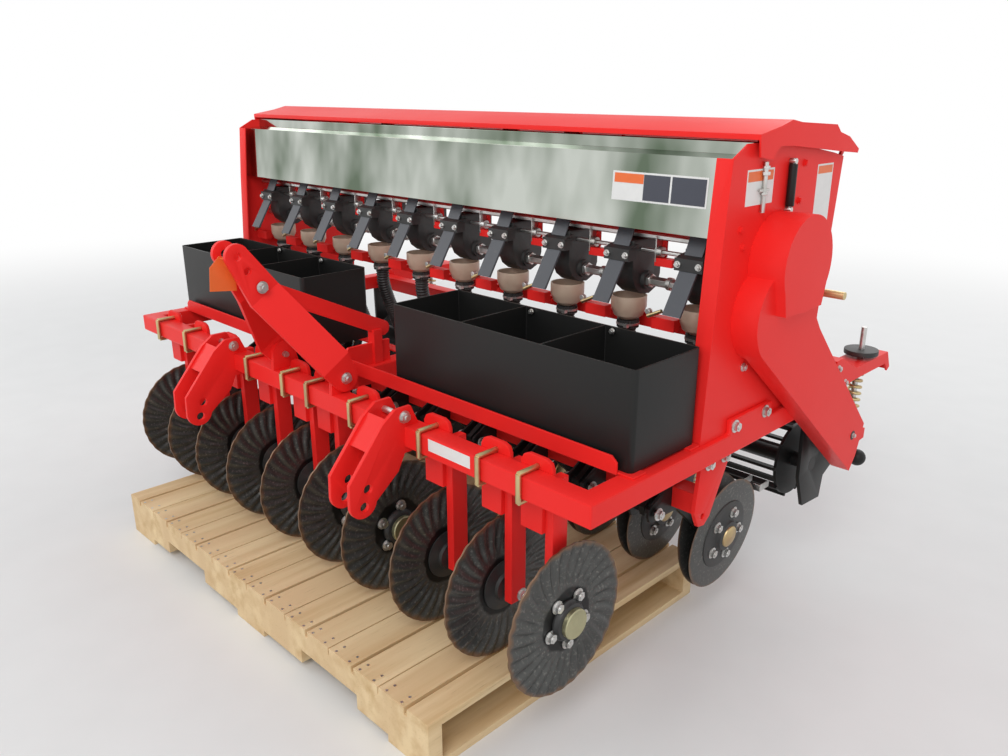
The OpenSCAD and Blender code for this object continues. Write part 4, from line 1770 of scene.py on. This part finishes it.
@dataclass
class MeterTrim:
    """Collars and clamp bands under the cups, and rods, rings and brackets between the meters.

    Attributes:
        finishes: the drill's finishes.
        ribs: ribs round a collar.
        root: radius of a collar between its ribs.
        rib: radius over its ribs.
        collar: Z of its lower and upper end.
        band: radius of a clamp band.
        rod: Y and Z of the thin rod through the meters.
        shaft: Y and Z of the hexagon shaft.
        half: half the length of the rod.
    """

    finishes: Finish
    ribs: int = 24
    root: float = 0.0245
    rib: float = 0.0262
    collar: Pair = (0.826, 0.8455)
    band: float = 0.0275
    rod: Pair = (0.484, 1.012)
    shaft: Pair = (0.505, 0.938)
    half: float = 0.955

    def build(self) -> None:
        """Builds both groups."""
        self.cup_rings()
        self.meter_parts()

    def cup_rings(self) -> None:
        """Ribbed collars under the cups with a clamp band each."""
        collars, bands = Shape(), Shape()
        roots = circle(self.ribs, self.root, 0.0)
        crests = circle(self.ribs, self.rib, FULL_TURN / self.ribs / 2)
        outline = [corner for pair in zip(roots, crests) for corner in pair]
        for index in ROW_NUMBERS:
            x, y = row_x(index) + METER_OFFSET, CUP_Y
            collars.prism([(x + a, y + b) for a, b in outline], *self.collar, 2)
            bands.cone((x, y, 0.833), (x, y, 0.838), self.band, 32)
            bands.box((x + 0.012, y - 0.034, 0.8315), (x + 0.022, y - 0.024, 0.8395))
        collars.finish("cup_collars", self.finishes.plastic, ROOT, Slot.BLACK_PLASTIC)
        bands.finish("cup_bands", self.finishes.zinc, ROOT, Slot.ZINC)

    def meter_parts(self) -> None:
        """Rods, rings and brackets between the meters."""
        zinc, red, yellow = Shape(), Shape(), Shape()
        zinc.cone((-self.half, *self.rod), (self.half, *self.rod), 0.0055, 6)
        for index in ROW_NUMBERS:
            self.at_meter(index, zinc, red, yellow)
            if index < ROWS:
                self.between_meters(index, zinc, red)
        zinc.soften(0.0008, 1).finish("meter_rods", self.finishes.zinc, ROOT, Slot.ZINC)
        red.soften(0.0015).finish("meter_brackets", self.finishes.red, ROOT, Slot.RED)
        yellow.finish("meter_pins", self.finishes.yellow_zinc, ROOT, Slot.YELLOW_ZINC)

    def at_meter(self, index: int, zinc: Shape, red: Shape, yellow: Shape) -> None:
        """Adds the nuts of one meter's shaft, and its bracket and pin in front of the cross rail.

        Args:
            index: number of the row.
            zinc: shape of the plated parts.
            red: shape of the painted parts.
            yellow: shape of the pins.
        """
        row = row_x(index)
        x = row + METER_OFFSET
        for side in (-1, 1):
            zinc.cone((x + side * 0.0362, *self.shaft), (x + side * 0.046, *self.shaft), 0.0165, 6)
        red.box((row - 0.070, 0.424, 0.853), (row - 0.010, 0.446, 0.880))
        red.box((row - 0.060, 0.446, 0.846), (row - 0.048, 0.523, 0.855))
        yellow.cone((row - 0.078, 0.421, 0.880), (row - 0.042, 0.421, 0.897), 0.0045, 12)
        zinc.cone((row - 0.080, 0.421, 0.889), (row - 0.080, 0.433, 0.889), 0.007, 6)

    def between_meters(self, index: int, zinc: Shape, red: Shape) -> None:
        """Adds the rings on both shafts and the bracket between a meter and the next.

        Args:
            index: number of the row at the left.
            zinc: shape of the plated parts.
            red: shape of the painted parts.
        """
        x = row_x(index) + METER_OFFSET
        zinc.cone((x + 0.089, *self.shaft), (x + 0.100, *self.shaft), 0.0150, 20)
        zinc.cone((x + 0.069, *self.rod), (x + 0.086, *self.rod), 0.0120, 20)
        zinc.box((x + 0.071, 0.472, 0.990), (x + 0.074, 0.496, 1.048))
        red.box((x + 0.069, 0.474, 0.981), (x + 0.117, 0.497, 0.999))
        red.box((x + 0.074, 0.494, 0.999), (x + 0.087, 0.499, 1.046))


@dataclass
class SideFittings:
    """Nuts and wing of the latch rod, and the ball ends of the gas strut, on the right end plate.

    Attributes:
        finishes: the drill's finishes.
        rod_x: X of the latch rod.
        rod_y: Y of the latch rod.
        nuts: lower end, upper end and radius of each nut on it.
        strut_x: X of the gas strut.
        strut_y: Y of the gas strut.
        ends: lower and upper end of each of its ball ends.
    """

    finishes: Finish
    rod_x: float = PLATE_X + 0.005
    rod_y: float = 0.5325
    nuts: Sequence[Point] = ((1.150, 1.156, 0.0085), (1.190, 1.197, 0.0100), (1.203, 1.209, 0.0085))
    strut_x: float = PLATE_X + 0.009
    strut_y: float = 0.642
    ends: Sequence[Pair] = ((1.103, 1.118), (1.206, 1.218))

    def build(self) -> None:
        """Builds them as one piece."""
        fittings = Shape()
        for low, high, radius in self.nuts:
            fittings.cone((self.rod_x, self.rod_y, low), (self.rod_x, self.rod_y, high), radius, 6)
        fittings.box((self.rod_x - 0.0025, 0.514, 1.157), (self.rod_x + 0.0025, 0.551, 1.163))
        for low, high in self.ends:
            x, y, middle = self.strut_x, self.strut_y, (low + high) / 2
            fittings.cone((x, y, low), (x, y, high), 0.0050, 12)
            fittings.cone((PLATE_X, y, middle), (x + 0.006, y, middle), 0.0065, 12)
        fittings.soften(0.0006, 1).finish("side_fittings", self.finishes.zinc, ROOT, Slot.ZINC)


@dataclass
class Labels:
    """Blank stickers with plain coloured fields, and the blank hang tag.

    A rectangle is its lowest and highest corner: X or Y, Z, X or Y, Z.

    Attributes:
        finishes: the drill's finishes.
        film: thickness of a film.
        panel_foot: Y and Z of the panel's lower edge.
        panel_head: Y and Z of its upper edge.
        bar_sticker: the sticker on the tool bar.
        side_stickers: the stickers on the right end plate.
        side_heads: the orange fields on them.
        panel_sticker: the sticker on the panel.
        panel_dark: the dark fields on it.
        panel_orange: the orange field on it.
        tag: Y and Z of the hang tag's corners.
        tag_height: its thickness.
    """

    finishes: Finish
    film: float = 0.0004
    panel_foot: Pair = (0.422, 1.067)
    panel_head: Pair = (0.432, 1.226)
    bar_sticker: Rectangle = (0.513, 0.603, 0.648, 0.631)
    side_stickers: Sequence[Rectangle] = ((0.470, 1.131, 0.578, 1.203), (0.774, 1.060, 0.850, 1.197))
    side_heads: Sequence[Rectangle] = ((0.474, 1.179, 0.574, 1.199), (0.778, 1.176, 0.846, 1.193))
    panel_sticker: Rectangle = (0.659, 1.125, 0.902, 1.187)
    panel_dark: Sequence[Rectangle] = ((0.743, 1.129, 0.810, 1.183), (0.815, 1.129, 0.898, 1.183))
    panel_orange: Rectangle = (0.664, 1.163, 0.742, 1.183)
    tag: Sequence[Pair] = (
        (-0.217, 0.911), (-0.150, 0.903), (-0.150, 0.979), (-0.186, 0.990), (-0.212, 0.966),
    )
    tag_height: float = 0.0010

    def on_plate(self, shape: Shape, area: Rectangle, layer: int) -> None:
        """Adds a film on the right end plate.

        Args:
            shape: shape that takes it.
            area: its rectangle in Y and Z.
            layer: films under it.
        """
        x = PLATE_X + layer * self.film
        shape.box((x, area[0], area[1]), (x + self.film, area[2], area[3]))

    def on_panel(self, shape: Shape, area: Rectangle, layer: int) -> None:
        """Adds a film on the leaning panel.

        Args:
            shape: shape that takes it.
            area: its rectangle in X and Z.
            layer: films under it.
        """
        left, low, right, high = area
        (foot_y, foot_z), (head_y, head_z) = self.panel_foot, self.panel_head
        slope = (head_y - foot_y) / (head_z - foot_z)
        y0, y1 = (foot_y + slope * (z - foot_z) - layer * self.film for z in (low, high))
        outline = [(y0, low), (y1, high), (y1 - self.film, high), (y0 - self.film, low)]
        shape.prism(outline, left, right, 0)

    def build(self) -> None:
        """Builds the white, the dark and the orange films."""
        f = self.finishes
        left, low, right, high = self.bar_sticker
        white = Shape().box((left, -self.film, low), (right, 0.0, high))
        for area in self.side_stickers:
            self.on_plate(white, area, 0)
        self.on_panel(white, self.panel_sticker, 0)
        white.finish("blank_stickers", f.white_film, ROOT, Slot.STAINLESS)

        dark = Shape()
        for area in self.panel_dark:
            self.on_panel(dark, area, 1)
        dark.finish("dark_films", f.dark_film, ROOT, Slot.BLACK_PLASTIC)

        orange = Shape()
        self.on_panel(orange, self.panel_orange, 1)
        for area in self.side_heads:
            self.on_plate(orange, area, 1)
        orange.prism(self.tag, 0.0, self.tag_height, 0)
        orange.cone((self.tag_height / 2, -0.184, 0.984), (0.0295, -0.163, 0.981), 0.0014, 8)
        orange.finish("orange_films", f.orange_film, ROOT, Slot.RED)


@dataclass
class NailHeads:
    """Nail heads in the deck boards over the three stringers of the pallet.

    Attributes:
        finishes: the drill's finishes.
        boards: distances of the nails' lines from a row's middle.
        stringers: Y of each stringer's middle.
        steps: distances of two nails from that middle.
        seat: Z of the lower and the upper side of a head.
        radius: radius of a head.
    """

    finishes: Finish
    boards: Sequence[float] = (0.020, 0.072, 0.118, 0.170)
    stringers: Sequence[float] = (-0.191, 0.2725, 0.736)
    steps: Pair = (-0.011, 0.011)
    seat: Pair = (0.1268, 0.1276)
    radius: float = 0.0036

    def build(self) -> None:
        """Builds them as one piece."""
        heads = Shape()
        low, high = self.seat
        deck = range(2, ROWS - 1)
        for index, offset, middle, step in product(deck, self.boards, self.stringers, self.steps):
            x, y = row_x(index) + offset, middle + step
            heads.cone((x, y, low), (x, y, high), self.radius, 8)
        heads.finish("nail_heads", self.finishes.zinc, ROOT, Slot.ZINC)


@dataclass
class Studio:
    """Camera at the photograph's angle, pale floor and soft light.

    Attributes:
        camera_place: place of the camera.
        camera_turn: its turn in degrees.
        lens: its focal length in millimetres.
        sensor: width of its sensor in millimetres.
        aim: what the lamps point at.
        lamps: name, place, power in watts and side of each square lamp.
        floor_half: half the floor's side.
        fade: distances from the origin between which the floor turns white.
        sky: colour of the light from all sides.
        sky_strength: its strength.
    """

    camera_place: Point = (1.8467, -1.0916, 1.3580)
    camera_turn: Point = (71.134, 0.0, 45.164)
    lens: float = 30.314
    sensor: float = 36.0
    aim: Point = (0.0, 0.4, 0.6)
    lamps: Sequence[tuple[str, Point, float, float]] = (
        ("key", (2.6, -3.2, 4.2), 112.0, 2.6),
        ("fill", (-3.6, -2.0, 3.0), 50.0, 3.0),
        ("back", (0.5, 4.0, 3.6), 54.0, 3.0),
    )
    floor_half: float = 14.0
    fade: Pair = (2.2, 7.0)
    sky: Point = (0.95, 0.97, 1.0)
    sky_strength: float = 0.62

    def build(self) -> None:
        """Makes the camera, the floor, the lamps and the world."""
        data = bpy.data.cameras.new("view")
        data.lens, data.sensor_width = self.lens, self.sensor
        camera = bpy.data.objects.new("view", data)
        camera.location = self.camera_place
        camera.rotation_euler = [math.radians(a) for a in self.camera_turn]
        bpy.context.scene.collection.objects.link(camera)
        bpy.context.scene.camera = camera
        self.floor()
        for name, place, power, size in self.lamps:
            self.lamp(name, place, power, size)
        self.world()
        bpy.context.scene.view_settings.view_transform = "Standard"

    def lamp(self, name: str, place: Point, power: float, size: float) -> None:
        """Adds a square soft lamp that points at the drill.

        Args:
            name: its name.
            place: its place.
            power: its power in watts.
            size: its side.
        """
        data = bpy.data.lights.new(name, "AREA")
        data.energy, data.size = power, size
        lamp = bpy.data.objects.new(name, data)
        lamp.location = place
        lamp.rotation_euler = (Vector(self.aim) - Vector(place)).to_track_quat("-Z", "Y").to_euler()
        bpy.context.scene.collection.objects.link(lamp)

    def floor(self) -> None:
        """Lays the pale floor, which fades to the white of the background far from the drill."""
        c = Canvas("pale_floor")
        c.tint(c.mix(c.noise(6.0, 4.0), "Fac", (0.80, 0.80, 0.79), (0.75, 0.75, 0.74)))
        c.set(Roughness=0.85)
        reach = c.add("ShaderNodeVectorMath", operation="LENGTH")
        c.link(c.coordinates, "Object", reach, 0)
        far = c.add("ShaderNodeMapRange", interpolation_type="SMOOTHSTEP")
        far.inputs["From Min"].default_value, far.inputs["From Max"].default_value = self.fade
        c.link(reach, "Value", far, "Value")
        glow = c.add("ShaderNodeEmission")
        glow.inputs["Strength"].default_value = 1.0
        blend = c.add("ShaderNodeMixShader")
        c.link(far, "Result", blend, 0)
        c.link(c.shader, "BSDF", blend, 1)
        c.link(glow, "Emission", blend, 2)
        c.link(blend, "Shader", c.output, "Surface")

        half = self.floor_half
        mesh = bpy.data.meshes.new("floor")
        corners = [(-half, -half, 0), (half, -half, 0), (half, half, 0), (-half, half, 0)]
        mesh.from_pydata(corners, [], [(0, 1, 2, 3)])
        mesh.materials.append(c.material)
        floor = bpy.data.objects.new("floor", mesh)
        bpy.context.scene.collection.objects.link(floor)

    def world(self) -> None:
        """Lights the scene evenly and shows white behind it, in mirrors and through what is clear."""
        world = bpy.data.worlds.new("studio")
        world.use_nodes = True
        g = Graph(world.node_tree)
        g.tree.nodes.clear()
        output = g.add("ShaderNodeOutputWorld")
        light = g.add("ShaderNodeBackground")
        light.inputs["Color"].default_value = (*self.sky, 1.0)
        light.inputs["Strength"].default_value = self.sky_strength
        shown = g.add("ShaderNodeBackground")
        shown.inputs["Color"].default_value = (1.0, 1.0, 1.0, 1.0)
        path = g.add("ShaderNodeLightPath")
        direct = g.add("ShaderNodeMath", operation="MAXIMUM")
        g.link(path, "Is Camera Ray", direct, 0)
        g.link(path, "Is Transmission Ray", direct, 1)
        seen = g.add("ShaderNodeMath", operation="MAXIMUM")
        g.link(direct, 0, seen, 0)
        g.link(path, "Is Glossy Ray", seen, 1)
        mix = g.add("ShaderNodeMixShader")
        g.link(seen, 0, mix, 0)
        g.link(light, 0, mix, 1)
        g.link(shown, 0, mix, 2)
        g.link(mix, 0, output, 0)
        bpy.context.scene.world = world


@dataclass
class CadNodes:
    """The CAD nodes, each with its finish, rounded edges and accents.

    Attributes:
        finishes: the drill's finishes.
        stub: radius of the test for a coulter's stub axle.
        shank_half: half the width of a shank with its rounding.
        mast_foot: Y, Z and test radius of the mast's foot bolts.
        mast_spacer: the same for the bolt in the mast's head.
        mast_half: X of the mast's outer faces.
        link_pin: Y, Z and test radius of the bolts in the lower link brackets.
        hinge_pin: the same for the hinge pin of the lid.
        spindle: Y and test radius of the hand wheels' spindles.
        rail_y: Y behind which the meter shafts' node is the painted rail.
        scraper_y: Y behind which the opener arms' node is the scrapers.
        knob_z: Z above which the rate adjuster's node is its knob.
    """

    finishes: Finish
    stub: float = 0.0125
    shank_half: float = 0.0108
    mast_foot: Point = (0.037, 0.676, 0.0085)
    mast_spacer: Point = (-0.105, 0.910, 0.0085)
    mast_half: float = 0.0358
    link_pin: Point = (0.0, 0.660, 0.0084)
    hinge_pin: Point = (0.906, 1.226, 0.0052)
    spindle: Pair = (1.240, 0.0090)
    rail_y: float = 0.5215
    scraper_y: float = 0.8255
    knob_z: float = 0.9328

    def coats(self) -> dict[str, Coat]:
        """Finish and rounding of each node that keeps its shape.

        Returns:
            The coats by node.
        """
        f = self.finishes
        return {
            "main_frame": Coat(f.red, Slot.RED, 0.004),
            "hitch_mast": Coat(f.red, Slot.RED, 0.0015),
            "mast_brace": Coat(f.red, Slot.RED, 0.0015),
            "hitch_brackets": Coat(f.red, Slot.RED, 0.0015),
            "coulter_shanks": Coat(f.red, Slot.RED, 0.002),
            "shank_clamps": Coat(f.red, Slot.RED, 0.002),
            "clamp_bolts": Coat(f.yellow_zinc, Slot.YELLOW_ZINC, 0.003),
            "ballast_boxes": Coat(f.black, Slot.BLACK, 0.002),
            "box_shelf": Coat(f.red, Slot.RED, 0.0015),
            "end_plates": Coat(f.red, Slot.RED, 0.0008),
            "front_panel": Coat(f.stainless, Slot.STAINLESS, 0.0006),
            "hopper_trough": Coat(f.red, Slot.RED, 0.0006),
            "meter_housings": Coat(f.plastic, Slot.BLACK_PLASTIC, 0.003),
            "seed_cups": Coat(f.tan, Slot.TAN_PLASTIC, 0.001),
            "meter_shafts": Coat(f.zinc, Slot.ZINC, 0.0006),
            "shutter_plates": Coat(f.grey, Slot.GREY, 0.001),
            "opener_bar": Coat(f.red, Slot.RED, 0.003),
            "opener_arms": Coat(f.black, Slot.BLACK, 0.0015),
            "chain_case": Coat(f.red, Slot.RED, 0.004),
            "rate_adjuster": Coat(f.yellow_zinc, Slot.YELLOW_ZINC, 0.001),
            "roller_arms": Coat(f.black, Slot.BLACK, 0.0015),
            "spring_brackets": Coat(f.red, Slot.RED, 0.0012),
            "hand_wheels": Coat(f.plastic, Slot.BLACK_PLASTIC, 0.002),
            "gas_strut": Coat(f.black, Slot.BLACK, 0.001),
            "lid_latch": Coat(f.zinc, Slot.ZINC, 0.001),
            "pallet": Coat(f.pine, Slot.PINE, 0.0015),
            "lid": Coat(f.red, Slot.RED, 0.0008, "hopper_lid"),
            "cage_roller": Coat(f.black, Slot.BLACK, 0.001, "roller"),
        }

    def accents(self) -> list[Accent]:
        """Bolts, stub axles, scrapers and other small parts that share a node with a painted part.

        Returns:
            The accents.
        """
        f = self.finishes
        stub = near_axis(*COULTER_AXIS, self.stub)
        foot = near_axis(*self.mast_foot)
        spacer = near_axis(*self.mast_spacer)
        spindle_y, spindle_reach = self.spindle
        spindles = [near_axis(side * ARM_X, spindle_y, spindle_reach, 2) for side in (-1, 1)]

        def off_shank(corner: Vector) -> bool:
            """Whether a corner of the stub axle lies beside its shank."""
            beside = all(abs(corner.x - shank_x(index)) > self.shank_half for index in ROW_NUMBERS)
            return stub(corner) and beside

        def mast_bolt(corner: Vector) -> bool:
            """Whether a corner belongs to a bolt of the mast."""
            return foot(corner) or (spacer(corner) and abs(corner.x) > self.mast_half)

        return [
            Accent("coulter_shanks", f.zinc, Slot.ZINC, off_shank),
            Accent("hitch_mast", f.zinc, Slot.ZINC, mast_bolt),
            Accent("hitch_brackets", f.zinc, Slot.ZINC, near_axis(*self.link_pin)),
            Accent("meter_shafts", f.red, Slot.RED, lambda corner: corner.y > self.rail_y),
            Accent("opener_arms", f.zinc, Slot.ZINC, lambda corner: corner.y > self.scraper_y),
            Accent("hand_wheels", f.zinc, Slot.ZINC, lambda corner: any(test(corner) for test in spindles)),
            Accent("rate_adjuster", f.plastic, Slot.BLACK_PLASTIC, lambda corner: corner.z > self.knob_z),
            Accent("hopper_trough", f.zinc, Slot.ZINC, near_axis(*self.hinge_pin)),
        ]

    def build(self) -> None:
        """Dresses the nodes in order."""
        accents = self.accents()
        for node, coat in self.coats().items():
            rounded_copy(node, coat, accents)


def main() -> None:
    """Builds the studio and the drill, sub-assembly by sub-assembly."""
    logging.basicConfig(level=logging.INFO, format="%(message)s")
    Studio().build()
    finishes = Finish()
    bolts = Fasteners(finishes.zinc)
    CadNodes(finishes).build()
    Coulters(finishes).build(bolts)
    OpenerDiscs(finishes).build(bolts)
    Hoses(finishes).build()
    Springs(finishes).build()
    BoltRows(finishes, bolts).build()
    MeterTrim(finishes).build()
    SideFittings(finishes).build()
    Labels(finishes).build()
    NailHeads(finishes).build()


if __name__ == "__main__":
    main()
